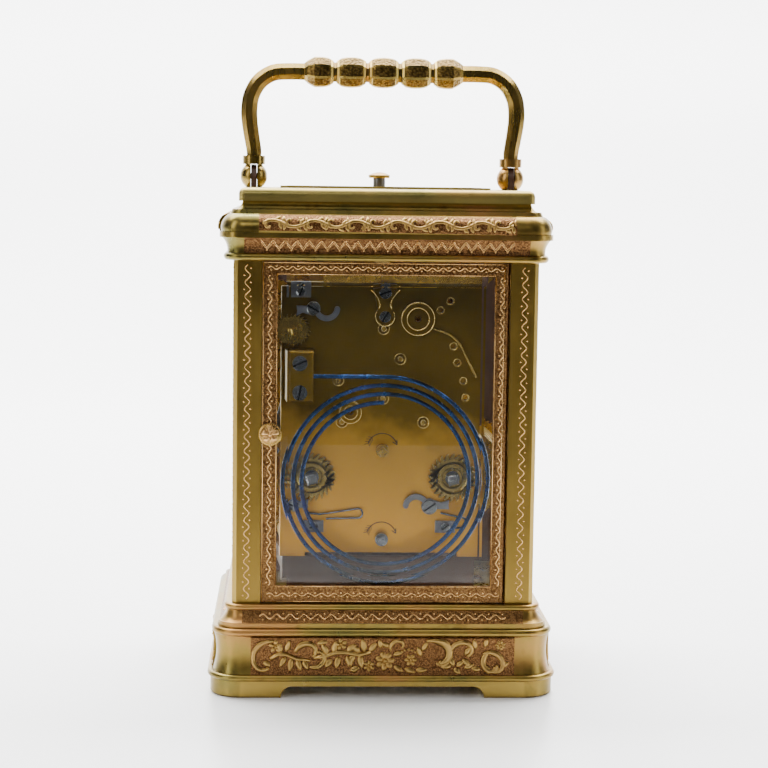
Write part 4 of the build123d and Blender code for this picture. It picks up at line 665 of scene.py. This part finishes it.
def base_relief():
    """Scrolling acanthus, leaves and blossoms of the plinth panel, about its own middle."""
    r = Relief(1.85)
    great_c = r.scroll(-31.0, 4.3, radians(172), 6.6, 0.62, 1, 1.25, 0.6)
    r.acanthus(great_c, 0.45, 0.98, 7, -1, 1.5)
    r.flower(-30.4, 2.6, 2.1, 5, 0.3, 0.6)
    branch = [(-31.9, -0.9), (-29.6, 0.5), (-27.4, 0.3), (-24.6, -0.9), (-20.6, -1.5)]
    r.ribbon(branch, lambda t: 0.95 - 0.4 * t, 0.6)
    arch = r.scroll(-25.0, 1.0, radians(75), 4.4, 0.60, -1, 1.35, 0.6)
    r.acanthus(arch, 0.05, 0.80, 9, 1, 1.9)
    leaf_spray(r, (
        (-27.6, -0.4, -120, 3.2), (-26.0, -0.7, -95, 3.6), (-24.4, -1.0, -70, 3.4), (-28.6, 1.0, 120, 2.8),
        (-22.6, -1.4, -60, 2.8), (-18.6, 3.6, 10, 2.8), (-27.4, 1.2, 75, 3.4), (-33.8, -1.8, -30, 2.2),
    ))
    curl = r.scroll(-20.8, -3.2, radians(-25), 3.9, 0.60, 1, 1.1, 0.6)
    r.acanthus(curl, 0.10, 0.75, 6, 1, 1.6)
    branch = [(-19.6, -0.6), (-16.6, -0.2), (-13.4, 0.9), (-10.6, 1.0), (-7.0, 0.2), (-3.4, 1.1)]
    r.ribbon(branch, lambda t: 0.85, 0.6)
    r.flower(-11.9, 3.3, 1.9, 5, 0.5, 0.6)
    leaf_spray(r, (
        (-15.6, 0.4, 120, 3.4), (-14.0, 0.8, 80, 3.6), (-10.2, 1.3, 40, 3.2), (-12.6, -0.2, -100, 3.4),
        (-10.4, -0.2, -60, 3.2), (-14.6, -1.0, -125, 2.8), (-8.2, 0.4, -115, 3.8), (-6.6, 0.2, -80, 3.8),
        (-5.2, 1.0, 100, 4.0), (-6.6, 1.0, 140, 3.0), (-3.8, 1.2, 55, 3.2), (-9.2, -4.2, 20, 2.6),
    ), 1.45)
    r.flower(0.6, -1.5, 2.9, 7, 0.1, 0.75)
    r.flower(-3.9, -2.9, 1.7, 6, 0.5, 0.6)
    small = r.scroll(2.2, 1.4, radians(110), 2.9, 0.66, -1, 1.0, 0.6)
    r.acanthus(small, 0.1, 0.6, 5, 1, 1.3)
    leaf_spray(r, ((3.2, -3.0, -30, 2.8), (3.0, 0.2, 20, 2.8), (-0.6, 2.2, 100, 2.6), (1.6, 2.6, 150, 2.2)))
    for u, v in ((5.4, 1.3), (6.3, 1.7), (7.3, 1.8), (8.3, 1.6), (9.2, 1.1)):
        r.bead(u, v, 0.48, 0.5)
    r.flower(7.9, -1.2, 1.9, 6, 0.0, 0.6)
    comma = r.scroll(12.4, 4.5, radians(25), 6.0, 0.58, -1, 1.9, 0.75)
    r.acanthus(comma, 0.12, 1.0, 14, -1, 2.5)
    r.acanthus(comma, 0.35, 0.90, 8, 1, 1.5)
    leaf_spray(r, ((10.8, -0.2, 110, 3.0), (11.2, 1.6, 60, 2.8), (6.2, -3.6, -20, 3.2), (9.4, -4.0, 0, 3.0)))
    c_scroll = r.scroll(18.9, 0.2, radians(92), 4.6, 0.70, -1, 1.25, 0.65)
    r.acanthus(c_scroll, 0.0, 0.60, 8, 1, 1.9)
    leaf_spray(r, (
        (19.4, -2.8, 190, 2.8), (20.2, -2.8, 120, 2.6), (21.0, -3.0, 40, 2.4), (20.2, -3.6, -40, 2.4),
        (23.4, 0.2, 60, 2.8), (22.6, -1.0, -40, 2.8),
    ))
    s_low = r.scroll(30.6, 1.4, radians(200), 4.1, 0.70, 1, 1.2, 0.65)
    r.acanthus(s_low, 0.1, 0.85, 8, 1, 1.6)
    s_high = r.scroll(28.4, 0.6, radians(30), 5.0, 0.62, -1, 1.25, 0.6)
    r.acanthus(s_high, 0.05, 0.70, 7, 1, 1.7)
    leaf_spray(r, (
        (26.4, 2.0, 105, 3.0), (29.0, 2.6, 80, 2.6), (31.4, -3.2, -35, 2.6), (29.6, -3.0, -80, 2.2),
        (33.8, -3.0, 30, 2.2), (23.2, -3.4, 20, 2.8), (27.6, -3.9, 170, 2.4),
    ))
    r.flower(33.4, 3.1, 1.6, 7, 0.4, 0.6)
    return r


# Sprigs in each hollow of a vine: shift along it, share of its swing, heading in degrees, length.
SPRIGS = ((0.7, 1.0, 40, 0.42), (1.7, 0.5, -60, 0.46), (2.7, 0.2, 75, 0.46), (3.5, 0.0, -95, 0.42))


def vine_relief(length, height, waves, seed):
    """A running vine with a curl and leaves in each hollow, for the narrow friezes."""
    draw = random.Random(seed)
    r = Relief(1.75)
    half, swing = length / 2, height * 0.20
    stem = [
        (-half + length * k / (16 * waves), swing * sin(2 * pi * k / 16)) for k in range(16 * waves + 1)
    ]
    r.ribbon(stem, lambda t: 0.62, 0.42)
    for k in range(2 * waves):
        u = -half + length * (k + 0.5) / (2 * waves)
        side = 1 if k % 2 == 0 else -1
        v = swing * side
        curl = r.scroll(u - 0.4, v, radians(180 - side * 20), height * 0.36, 0.72, side, 0.75, 0.42)
        r.acanthus(curl, 0.1, 0.7, 4, -side, 0.9)
        for shift, share, spread, size in SPRIGS:
            heading = side * (spread + draw.uniform(-15, 15))
            r.leaf(u + shift, v * share, radians(heading), height * size, 0.85, 0.38)
        if k % 3 == 1:
            r.flower(u + 1.9, -v * 1.2, height * 0.19, 6, 0.2, 0.34)
    return r


def zigzag(r, half, v_low, v_high, pitch):
    """Double zigzag with a punched bead below each valley, inside (v_low, v_high)."""
    count = round(2 * half / pitch)
    step = 2 * half / count
    for k in range(count):
        u = -half + (k + 0.5) * step
        for drop in (0.0, 0.62):
            r.ribbon(
                [(u - step / 2, v_high - drop), (u, v_low + 1.15 - drop), (u + step / 2, v_high - drop)],
                lambda t: 0.36,
                0.17,
            )
        r.bead(u, v_low + 0.42, 0.30, 0.24)


def wave(r, start, end, fixed, upright, amplitude=0.62, period=3.85, heights=(0.15, 0.24)):
    """Wriggle-work line with a bead in each hollow, along u, or along v where upright."""
    waves = round((end - start) / period)
    steps = 10 * waves
    path = []
    for k in range(steps + 1):
        travel = start + (end - start) * k / steps
        offset = fixed + amplitude * sin(2 * pi * waves * k / steps)
        path.append((offset, travel) if upright else (travel, offset))
    r.ribbon(path, lambda t: 0.40, heights[0])
    for k in range(2 * waves):
        travel = start + (end - start) * (k + 0.5) / (2 * waves)
        offset = fixed - (1 if k % 2 == 0 else -1) * amplitude * 1.25
        r.bead(*((offset, travel) if upright else (travel, offset)), 0.29, heights[1])


def lay_on_moulding(name, node, relief, sides, half_of, v_low, v_high, look, centre_v=0.0, inset=0.35):
    """Lays one relief per side on a moulding's band between two heights, in metres."""
    mesh = bmesh.new()
    for side in sides:
        rows = profile(node, side, 0.0, v_low, v_high)
        drawn = relief(half_of(side)) if callable(relief) else relief
        drawn.clip(
            -half_of(side) + inset, half_of(side) - inset,
            (v_low / MM) - centre_v + inset, (v_high / MM) - centre_v - inset,
        )
        drawn.lay(mesh, lambda u, v, h, s=side, rows=rows: laid(s, rows, u, v + centre_v * MM, h))
    make_piece(name, mesh, look, "case")


# ---------------------------------------------------------------- plinth and cornice ornament
BASE_PANEL = (6.9, 17.2)
TOP_PANEL = (131.7, 136.2)
BASE_COVE = (21.05, 24.25)
TOP_COVE = (125.75, 129.85)
END_MARGIN = {"base": 5.6, "top": 7.1}


def half_length(kind):
    def measure(side):
        reach = case_x if side in (REAR, FRONT) else case_y
        return reach / MM - END_MARGIN[kind]
    return measure


def squeezed_base(half):
    """The plinth relief, drawn for the long sides and cut down by scale for the short ones."""
    r = base_relief()
    full = case_x / MM - END_MARGIN["base"]
    r.points = [(u * half / full, v, h) for u, v, h in r.points]
    return r


lay_on_moulding(
    "plinth_relief", "base_moulding", squeezed_base, SIDES, half_length("base"),
    BASE_PANEL[0] * MM, BASE_PANEL[1] * MM, "relief", sum(BASE_PANEL) / 2, 0.15,
)
lay_on_moulding(
    "cornice_relief", "top_moulding", lambda half: vine_relief(2 * half - 2, 4.4, 6, 7), SIDES,
    half_length("top"), TOP_PANEL[0] * MM, TOP_PANEL[1] * MM, "relief", sum(TOP_PANEL) / 2, 0.2,
)


def top_cove(half):
    r = Relief()
    zigzag(r, half - 0.6, TOP_COVE[0] + 0.3, TOP_COVE[1] - 0.5, 3.4)
    return r


def base_cove(half):
    r = Relief(1.2)
    wave(r, 0.8 - half, half - 0.8, sum(BASE_COVE) / 2, False, 0.62, 3.85)
    return r


lay_on_moulding(
    "top_cove_zigzag", "top_moulding", top_cove, SIDES, half_length("top"),
    TOP_COVE[0] * MM, TOP_COVE[1] * MM, "wriggle",
)
lay_on_moulding(
    "base_cove_wave", "base_moulding", base_cove, SIDES, half_length("top"),
    BASE_COVE[0] * MM, BASE_COVE[1] * MM, "wriggle",
)


def in_band(face, bands):
    return any(lower * MM <= face.z <= upper * MM for lower, upper in bands)


def on_panel(kind, bands):
    """True for faces of the straight engraved stretches of a moulding."""
    def test(place, normal):
        reach_x = case_x - END_MARGIN[kind] * MM
        reach_y = case_y - END_MARGIN[kind] * MM
        flat_on = abs(place.x) < reach_x if abs(normal.y) > abs(normal.x) else abs(place.y) < reach_y
        outside = abs(place.y) > case_y or abs(place.x) > case_x
        return flat_on and outside and in_band(place, bands)
    return test


paint_faces("base_moulding", "ground", on_panel("base", ((6.6, 17.5),)))
paint_faces("base_moulding", "door", on_panel("top", (BASE_COVE,)))
paint_faces("top_moulding", "ground", on_panel("top", (TOP_PANEL, TOP_COVE)))
paint_faces("top_moulding", "slab", lambda place, normal: place.z > slab_top - 3.8 * MM)
paint_faces("repeat_button", "steel", lambda place, normal: place.z < slab_top + 1.3 * MM)
# The dial's back and edge take the near-black seat colour: painted shade behind the dial.
paint_faces("dial", "seat", lambda place, normal: normal.y < 0.5)
paint_faces("plate_springs", "ratchet", lambda place, normal: place.x > 0.012 and place.z > centre.z)
for pillar in NODE_LOOKS["pillar"]:
    paint_faces(pillar, "case", lambda place, normal: abs(abs(normal.x) - abs(normal.y)) < 0.5)


# ---------------------------------------------------------------- pillars and door
def engrave_pillars():
    """Wriggle-work up the outer faces of the four corner pillars."""
    mesh = bmesh.new()
    size = high("pillar_rear_right").x - low("pillar_rear_right").x
    for side in SIDES:
        reach, depth = (case_x, case_y) if side in (REAR, FRONT) else (case_y, case_x)
        for hand in (-1, 1):
            line = Relief()
            middle_u = hand * (reach - size / 2) / MM
            wave(line, window_low / MM + 1.2, window_high / MM - 1.2, middle_u, True, 0.72, 3.9)
            line.lay(mesh, lambda u, v, h, s=side, d=depth: s.point(u, v, d + h))
    make_piece("pillar_engraving", mesh, "wriggle", "case")


def engrave_door():
    """Wriggle-work round the door, low enough to pass the pillar when the door is open."""
    outer_low, outer_high = low("door_frame"), high("door_frame")
    left, right = outer_low.x / MM, outer_high.x / MM
    bottom, top = outer_low.z / MM, outer_high.z / MM
    stile, foot, head = 4.3, 4.8, 3.7
    line = Relief()
    flat_end = right - 1.6
    clear = (0.06, 0.065)
    wave(line, bottom + foot, top - head, left + stile / 2, True, 0.45, 3.8, clear)
    wave(line, bottom + foot, top - head, right - stile / 2, True, 0.45, 3.8, clear)
    wave(line, left + 1.6, flat_end, bottom + foot * 0.46, False, 0.42, 3.7, clear)
    wave(line, left + 1.6, flat_end, top - head * 0.46, False, 0.42, 3.0, clear)
    edge = 0.22
    for u_low, u_high, v_low, v_high in (
        (left + stile - 0.25, right - stile + 0.25, bottom + foot - 0.25, top - head + 0.25),
        (left + 0.25, flat_end, bottom + 0.25, top - 0.25),
    ):
        corners = [(u_low, v_low), (u_high, v_low), (u_high, v_high), (u_low, v_high), (u_low, v_low)]
        for a, b in zip(corners, corners[1:]):
            line.ribbon([a, ((a[0] + b[0]) / 2, (a[1] + b[1]) / 2), b], lambda t: edge, 0.07)
    mesh = bmesh.new()
    face = -outer_low.y
    line.lay(mesh, lambda u, v, h: REAR.point(u, v, face + h))
    make_piece("door_engraving", mesh, "wriggle", "door")


def rosette():
    """Flower on the door knob: five lobed petals round a button, with a milled rim."""
    place = middle("door_knob")
    radius = (high("door_knob").x - low("door_knob").x) / 2 / MM
    flower = Relief()
    petals, milling = 5, 30
    for k in range(petals):
        angle = pi / 2 + 2 * pi * k / petals
        petal = moved((0, 0), angle, 0.50 * radius)
        flower.dome(*petal, 0.40 * radius, 0.30 * radius, 0.42, angle, 12, 3, 0.25)
        gap = angle + pi / petals
        flower.leaf(*moved((0, 0), gap, 0.25 * radius), gap, 0.55 * radius, 0.5, 0.26)
    flower.dome(0, 0, 0.20 * radius, 0.20 * radius, 0.6, sides=12)
    for k in range(milling):
        flower.bead(*moved((0, 0), 2 * pi * k / milling, 0.90 * radius), 0.20, 0.20)
    mesh = bmesh.new()
    known_skin = {}

    def place_on_knob(u, v, h):
        key = (round(u / MM, 3), round(v / MM, 3))
        if key not in known_skin:
            size = max(1.0, hypot(u, v) / (0.97 * radius * MM))
            spot, _ = skin("door_knob", REAR, place.x + u / size, place.z + v / size)
            known_skin[key] = (u / size, v / size, -spot.y)
        du, dv, out = known_skin[key]
        return REAR.point(place.x + du, place.z + dv, out + h)

    flower.lay(mesh, place_on_knob)
    make_piece("knob_rosette", mesh, "knob", "door")


# ---------------------------------------------------------------- handle
def smooth_path(points, steps):
    """Points of a Catmull-Rom curve through the given ones."""
    path = []
    for k in range(len(points) - 1):
        a, b = Vector(points[max(0, k - 1)]), Vector(points[k])
        c, d = Vector(points[k + 1]), Vector(points[min(len(points) - 1, k + 2)])
        for step in range(steps):
            s = step / steps
            bend = 2 * a - 5 * b + 4 * c - d
            twist = 3 * b - a - 3 * c + d
            path.append(0.5 * (2 * b + (c - a) * s + bend * s**2 + twist * s**3))
    path.append(Vector(points[-1]))
    return path


def octagon_sweep(mesh, path, radii):
    """Octagonal bar along a path in the XZ plane; returns its facets as strips of faces."""
    rings = []
    for index, spot in enumerate(path):
        ahead = (path[min(len(path) - 1, index + 1)] - path[max(0, index - 1)]).normalized()
        across = ahead.cross(Vector((0, 1, 0)))
        ring = []
        for k in range(8):
            angle = pi / 8 + k * pi / 4
            reach = across * cos(angle) + Vector((0, 1, 0)) * sin(angle)
            ring.append(mesh.verts.new((spot + reach * radii(index)) * MM))
        rings.append(ring)
    strips = [[] for _ in range(8)]
    for index in range(len(path) - 1):
        here, after = rings[index], rings[index + 1]
        for k in range(8):
            following = (k + 1) % 8
            strips[k].append(mesh.faces.new((here[k], here[following], after[following], after[k])))
    mesh.faces.new(list(reversed(rings[0])))
    mesh.faces.new(rings[-1])
    return strips


def kept_below(node, level):
    """Mesh of the part of a CAD node under a level, capped."""
    mesh = bmesh.new()
    mesh.from_mesh(nodes[node].data)
    cut = bmesh.ops.bisect_plane(
        mesh, geom=mesh.verts[:] + mesh.edges[:] + mesh.faces[:], plane_co=(0, 0, level), plane_no=(0, 0, 1),
        clear_outer=True,
    )
    bmesh.ops.holes_fill(mesh, edges=[e for e in cut["geom_cut"] if isinstance(e, bmesh.types.BMEdge)])
    for face in mesh.faces:
        face.material_index = 0
    return mesh


BULB_COUNT = 5
BULB_PITCH = 9.6
# One bulb of the handle: place along the bar and radius.
BULB_PROFILE = (
    (-4.8, 3.0), (-4.45, 3.05), (-4.2, 3.55), (-3.6, 3.95), (-2.6, 4.35), (-1.3, 4.58), (0.0, 4.64),
    (1.3, 4.58), (2.6, 4.35), (3.6, 3.95), (4.2, 3.55), (4.45, 3.05), (4.8, 3.0),
)


def handle():
    """Folding handle: octagonal arms and five octagonal bulbs with matted facets."""
    bar_drop, post_inset, foot_rise, bow_inset = 4.3, 3.7, 5.6, 2.45
    arm_end, arm_radius, arm_swell, end_radius = 23.4, 2.28, 0.32, 2.55
    bar_z = high("handle").z / MM - bar_drop
    foot_x = high("handle_posts").x / MM - post_inset
    foot_z = joint_place("handle_pivot").z / MM + foot_rise
    bow = high("handle").x / MM - bow_inset
    mesh = kept_below("handle", (foot_z + 0.35) * MM)
    rising = [
        (foot_x, foot_z), (foot_x + 0.05, foot_z + 2.2), (foot_x + 0.75, foot_z + 6.4),
        (bow - 0.08, foot_z + 10.8), (bow, foot_z + 14.4), (bow - 0.7, foot_z + 18.3),
        (bow - 3.0, foot_z + 22.2), (bow - 6.9, foot_z + 24.7), (bow - 11.4, bar_z), (arm_end, bar_z),
    ]
    for side in (-1, 1):
        path = smooth_path([(side * x, 0, z) for x, z in rising], 6)
        octagon_sweep(mesh, path, lambda index: arm_radius + arm_swell * min(1.0, index / 20))
    last = BULB_COUNT - 1
    path, radii = [], []
    for number in range(BULB_COUNT):
        offset = (number - last / 2) * BULB_PITCH
        for place, radius in BULB_PROFILE[: None if number == last else -1]:
            outer = number in (0, last) and place * (number - last / 2) > 0
            taper = 0.42 * max(0.0, abs(place) - 1.3) ** 0.6 if outer else 0.0
            path.append(Vector((offset + place, 0, bar_z)))
            radii.append(radius - taper)
    radii[0] = radii[-1] = end_radius
    strips = octagon_sweep(mesh, path, lambda index: radii[index])
    for strip in strips:
        for number in range(BULB_COUNT):
            start = number * (len(BULB_PROFILE) - 1)
            facet = strip[start + 3:start + 9]
            bmesh.ops.inset_region(
                mesh, faces=facet, thickness=0.34 * MM, depth=-0.14 * MM, use_even_offset=True
            )
            for face in facet:
                face.material_index = 1
            for face in strip[start:start + 2] + strip[start + 10:start + 12]:
                face.material_index = 2
    piece = make_piece("handle_octagonal", mesh, ("handle", "facet", "relief"), "handle", smooth=False)
    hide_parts("handle")


# ---------------------------------------------------------------- pieces on the back plate
def rear_ring(mesh, x, z, face, rings, sides=48):
    """Turned piece seen from the rear: rings of (radius, height out of a level face)."""
    rows = []
    for radius, rise in rings:
        circle = [moved((x, z), 2 * pi * k / sides, radius) for k in range(sides)]
        rows.append([mesh.verts.new((u, face - rise, v)) for u, v in circle])
    for a, b in zip(rows, rows[1:]):
        for k in range(sides):
            mesh.faces.new((a[k], a[(k + 1) % sides], b[(k + 1) % sides], b[k]))
    return rows


RATCHET_TEETH = 24
# One hooked tooth: share of the tip radius, and share of the turn from tooth to tooth.
HOOKED_TOOTH = (
    (1.0, 0.0), (0.985, 0.20), (0.94, 0.42), (0.875, 0.62), (0.80, 0.80), (0.77, 0.93),
    (0.79, 1.08), (0.86, 1.14), (0.93, 1.09),
)
# The dished hub ring, from the arbor outwards: radius and height out of the ratchet's face.
RATCHET_HUB = (
    (2.12, -1.25), (2.12, 0.12), (2.75, 0.16), (3.0, 0.52), (3.25, 0.60), (4.05, 0.60), (4.25, 0.42),
    (4.3, 0.0), (4.55, -0.10), (4.75, 0.0),
)


def hooked_ratchet(node, body, phase):
    """Ratchet with curved, undercut saw teeth, a raised dished hub ring and a turned groove."""
    place = middle(node)
    tip = (high(node).z - low(node).z) / 2
    face, deep = low(node).y + 0.6 * MM, high(node).y
    outline = []
    for k in range(RATCHET_TEETH):
        for share, turn in HOOKED_TOOTH:
            outline.append(moved((0, 0), phase + (k + turn) * 2 * pi / RATCHET_TEETH, tip * share))
    mesh = bmesh.new()
    rows = []
    for y, size in ((deep, 1.0), (face + 0.12 * MM, 1.0), (face, 0.975)):
        rows.append([
            mesh.verts.new((place.x + u * size, y, place.z + v * size)) for u, v in outline
        ])
    total = len(outline)
    for a, b in zip(rows, rows[1:]):
        for k in range(total):
            mesh.faces.new((a[k], a[(k + 1) % total], b[(k + 1) % total], b[k]))
    hub = rear_ring(mesh, place.x, place.z, face, [(r * MM, h * MM) for r, h in RATCHET_HUB], 60)
    bridge(mesh, hub[-1], rows[-1])
    bridge(mesh, hub[0], rows[0])
    piece = make_piece(node + "_hooked", mesh, "ratchet", body, False)
    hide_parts(node)


def bridge(mesh, inner, outer):
    """Fills the ring between two coaxial loops that may have different numbers of points."""
    def loop_edges(loop):
        return [
            next(e for e in loop[k].link_edges if e.other_vert(loop[k]) is loop[(k + 1) % len(loop)])
            for k in range(len(loop))
        ]
    edges = loop_edges(inner) + loop_edges(outer)
    bmesh.ops.bridge_loops(mesh, edges=edges)


def rear_relief(name, relief, look, face, body="case"):
    """Relief laid flat on a level face of the movement, in millimetres of x and z."""
    mesh = bmesh.new()
    relief.lay(mesh, lambda u, v, h: Vector((u, face - h, v)))
    make_piece(name, mesh, look, body)


def ring_path(x, z, radius, start=0.0, end=360.0, steps=36):
    turns = [start + (end - start) * k / steps for k in range(steps + 1)]
    return [moved((x, z), radians(turn), radius) for turn in turns]


SUNK_PIVOTS = (
    "second_wheel_spin", "third_wheel_spin", "contrate_wheel_spin", "strike_wheel_spin", "fly_spin",
    "centre_wheel_spin",
)
# Small holes of the back plate and hubs of the winding arrows, off the centre arbor.
SMALL_HOLES = ((16.4, 25.9), (19.2, 28.6), (20.3, 15.5), (21.5, 10.7), (23.3, 5.4), (24.0, 0.5))
ARROW_HUBS = (-14.5, -40.6)
ARROW_RADIUS = 4.4


def plate_details():
    """Bright rings round the sinks and small holes, painted highlights of their cones; cut edges of the cock
    and bushes, the outer bush rings painted highlights of their rims; and winding arrows.
    """
    cx, cz = centre.x / MM, centre.z / MM
    lines = Relief()
    # Painted highlights: bright rings where light catches the cones of the oil sinks and small holes.
    for name in SUNK_PIVOTS:
        spot = joint_place(name) / MM
        lines.ribbon(ring_path(spot.x, spot.z, 1.62), lambda t: 0.24, 0.06)
        lines.ribbon(ring_path(spot.x, spot.z, 0.78), lambda t: 0.20, 0.07)
    for u, v in SMALL_HOLES:
        lines.ribbon(ring_path(cx + u, cz + v, 1.06), lambda t: 0.22, 0.06)
    rear_relief("sink_highlight_rings", lines, "edge", plate_face)

    arrows = Relief()
    for drop in ARROW_HUBS:
        hub = (cx, cz + drop)
        arrows.ribbon(ring_path(*hub, ARROW_RADIUS, 160, 22, 24), lambda t: 0.42, 0.07)
        tip = moved(hub, radians(14), ARROW_RADIUS)
        for turn in (90, 145):
            a = radians(turn)
            arrows.ribbon([tip, moved(tip, a, 0.8), moved(tip, a, 1.5)], lambda t: 0.42, 0.07)
        for k in range(4):
            spot = moved(hub, radians(160 - 9 * k), ARROW_RADIUS)
            for side in (-1, 1):
                a = radians(160 - 9 * k + 90 + side * 52)
                arrows.ribbon([spot, moved(spot, a, 0.6), moved(spot, a, 1.15)], lambda t: 0.30, 0.06)
    rear_relief("winding_arrows", arrows, "engraving", plate_face)

    edges = Relief()
    foot_u, boss_v = cx + 0.3, cz + 24.0
    edges.ribbon(ring_path(foot_u, boss_v, 2.75, 150, 390, 30), lambda t: 0.34, 0.12)
    for side in (-1, 1):
        flare = [
            (foot_u + side * wide, min(boss_v + rise, cz + 32.1))
            for wide, rise in ((1.9, 2.1), (1.5, 3.4), (2.0, 5.2), (3.3, 6.9), (4.2, 7.6))
        ]
        edges.ribbon(flare, lambda t: 0.34, 0.12)
    rear_relief("cock_edges", edges, "edge", low("back_cock").y)

    # The outer ring of each bush is a painted highlight of its rim; the inner ring is its bright polished
    # face.
    rings = Relief()
    for u, v, radii in ((9.84, 23.4, (4.75, 3.2)), (-9.4, -3.9, (3.15, 2.0))):
        for radius in radii:
            rings.ribbon(ring_path(cx + u, cz + v, radius, steps=48), lambda t: 0.30, 0.12)
    rear_relief("bush_rings_and_rim_highlight", rings, "edge", low("rear_bushes").y)


def darken_slots():
    """Gives the slots of the rear screws a dark floor and walls, a painted shadow."""
    data = nodes["rear_screws"].data
    tree = KDTree(len(data.vertices))
    for vertex in data.vertices:
        tree.insert((vertex.co.x, 0.0, vertex.co.z), vertex.index)
    tree.balance()
    screw_reach = 2.6 * MM

    def in_slot(place, normal):
        around = tree.find_range((place.x, 0.0, place.z), screw_reach)
        rise = place.y - min(data.vertices[index].co.y for _, index, _ in around)
        on_floor = 0.3 * MM < rise < 0.5 * MM and normal.y < -0.9
        on_wall = 0.17 * MM < rise < 0.23 * MM and abs(normal.y) < 0.1
        return on_floor or on_wall

    paint_faces("rear_screws", "slot", in_slot)


# ---------------------------------------------------------------- dial, balance spring and button
ROMAN_STROKES = ("I", "II", "III", "IIII", "V", "VI", "VII", "VIII", "IX", "X", "XI", "XII")


def numeral(r, text, cx, cz, radius, clock, tall):
    """Roman numeral made of strokes, standing outwards on the dial."""
    widths = {"I": 0.75, "V": 1.7, "X": 1.8}
    total = sum(widths[c] for c in text)
    along = -total / 2
    turn = radians(90 - clock)

    def place(a, b):
        out = radius + b
        return (cx + out * cos(turn) + a * sin(turn), cz + out * sin(turn) - a * cos(turn))

    def stroke(a0, b0, a1, b1, thick):
        r.ribbon([place(a0, b0), place((a0 + a1) / 2, (b0 + b1) / 2), place(a1, b1)], lambda t: thick, 0.05)

    for c in text:
        wide, middle_a = widths[c], along + widths[c] / 2
        if c == "I":
            stroke(middle_a, -tall / 2, middle_a, tall / 2, 0.42)
        if c == "V":
            stroke(middle_a - wide * 0.38, tall / 2, middle_a, -tall / 2, 0.42)
            stroke(middle_a + wide * 0.38, tall / 2, middle_a, -tall / 2, 0.16)
        if c == "X":
            stroke(middle_a - wide * 0.38, tall / 2, middle_a + wide * 0.38, -tall / 2, 0.42)
            stroke(middle_a + wide * 0.38, tall / 2, middle_a - wide * 0.38, -tall / 2, 0.16)
        for level in (-tall / 2, tall / 2):
            stroke(middle_a - wide * 0.42, level, middle_a + wide * 0.42, level, 0.13)
        along += wide


def dial_markings():
    """Roman hours, a minute track and the small alarm dial, drawn from the front."""
    r = Relief()
    middle_of_dial = (0.0, centre.z / MM)
    track = (20.8, 21.7, 22.6)
    for hour, text in enumerate(ROMAN_STROKES, 1):
        numeral(r, text, *middle_of_dial, 17.6, 30 * hour, 4.2)
    for radius in (track[0], track[-1]):
        r.ribbon(ring_path(*middle_of_dial, radius, steps=96), lambda t: 0.14, 0.04)
    for minute in range(60):
        thick = 0.55 if minute % 5 == 0 else 0.16
        ends = [moved(middle_of_dial, radians(6 * minute), radius) for radius in track]
        r.ribbon(ends, lambda t: thick, 0.05)
    alarm_dial = (0.0, centre.z / MM - 41.0)
    for radius in (6.8, 7.6):
        r.ribbon(ring_path(*alarm_dial, radius, steps=60), lambda t: 0.12, 0.04)
    for hour in range(12):
        ends = [moved(alarm_dial, radians(30 * hour), radius) for radius in (5.2, 6.0, 6.8)]
        r.ribbon(ends, lambda t: 0.36 if hour % 3 == 0 else 0.2, 0.05)
    mesh = bmesh.new()
    face = high("dial").y
    r.lay(mesh, lambda u, v, h: Vector((-u, face + h, v)))
    make_piece("dial_markings", mesh, "numerals", "case")


def balance_spring():
    """Flat spiral between the balance and its cock."""
    place = middle("balance")
    level = high("balance").z - 1.55 * MM
    mesh = bmesh.new()
    turns, steps = 7, 36
    rows = []
    for k in range(turns * steps + 1):
        angle = 2 * pi * k / steps
        radius = (0.75 + 3.4 * k / (turns * steps)) * MM
        row = []
        for dr, dz in ((-0.05, -0.10), (0.05, -0.10), (0.05, 0.10), (-0.05, 0.10)):
            x, y = moved(place, angle, radius + dr * MM)
            row.append(mesh.verts.new((x, y, level + dz * MM)))
        rows.append(row)
    for a, b in zip(rows, rows[1:]):
        for k in range(4):
            mesh.faces.new((a[k], a[(k + 1) % 4], b[(k + 1) % 4], b[k]))
    mesh.faces.new(rows[0][::-1])
    mesh.faces.new(rows[-1])
    make_piece("balance_spring", mesh, "blued", "balance", False)


engrave_pillars()
engrave_door()
rosette()
handle()
hooked_ratchet("time_ratchet", "time_arbor", radians(-95))
hooked_ratchet("strike_ratchet", "strike_arbor", radians(-95))
plate_details()
darken_slots()
dial_markings()
balance_spring()
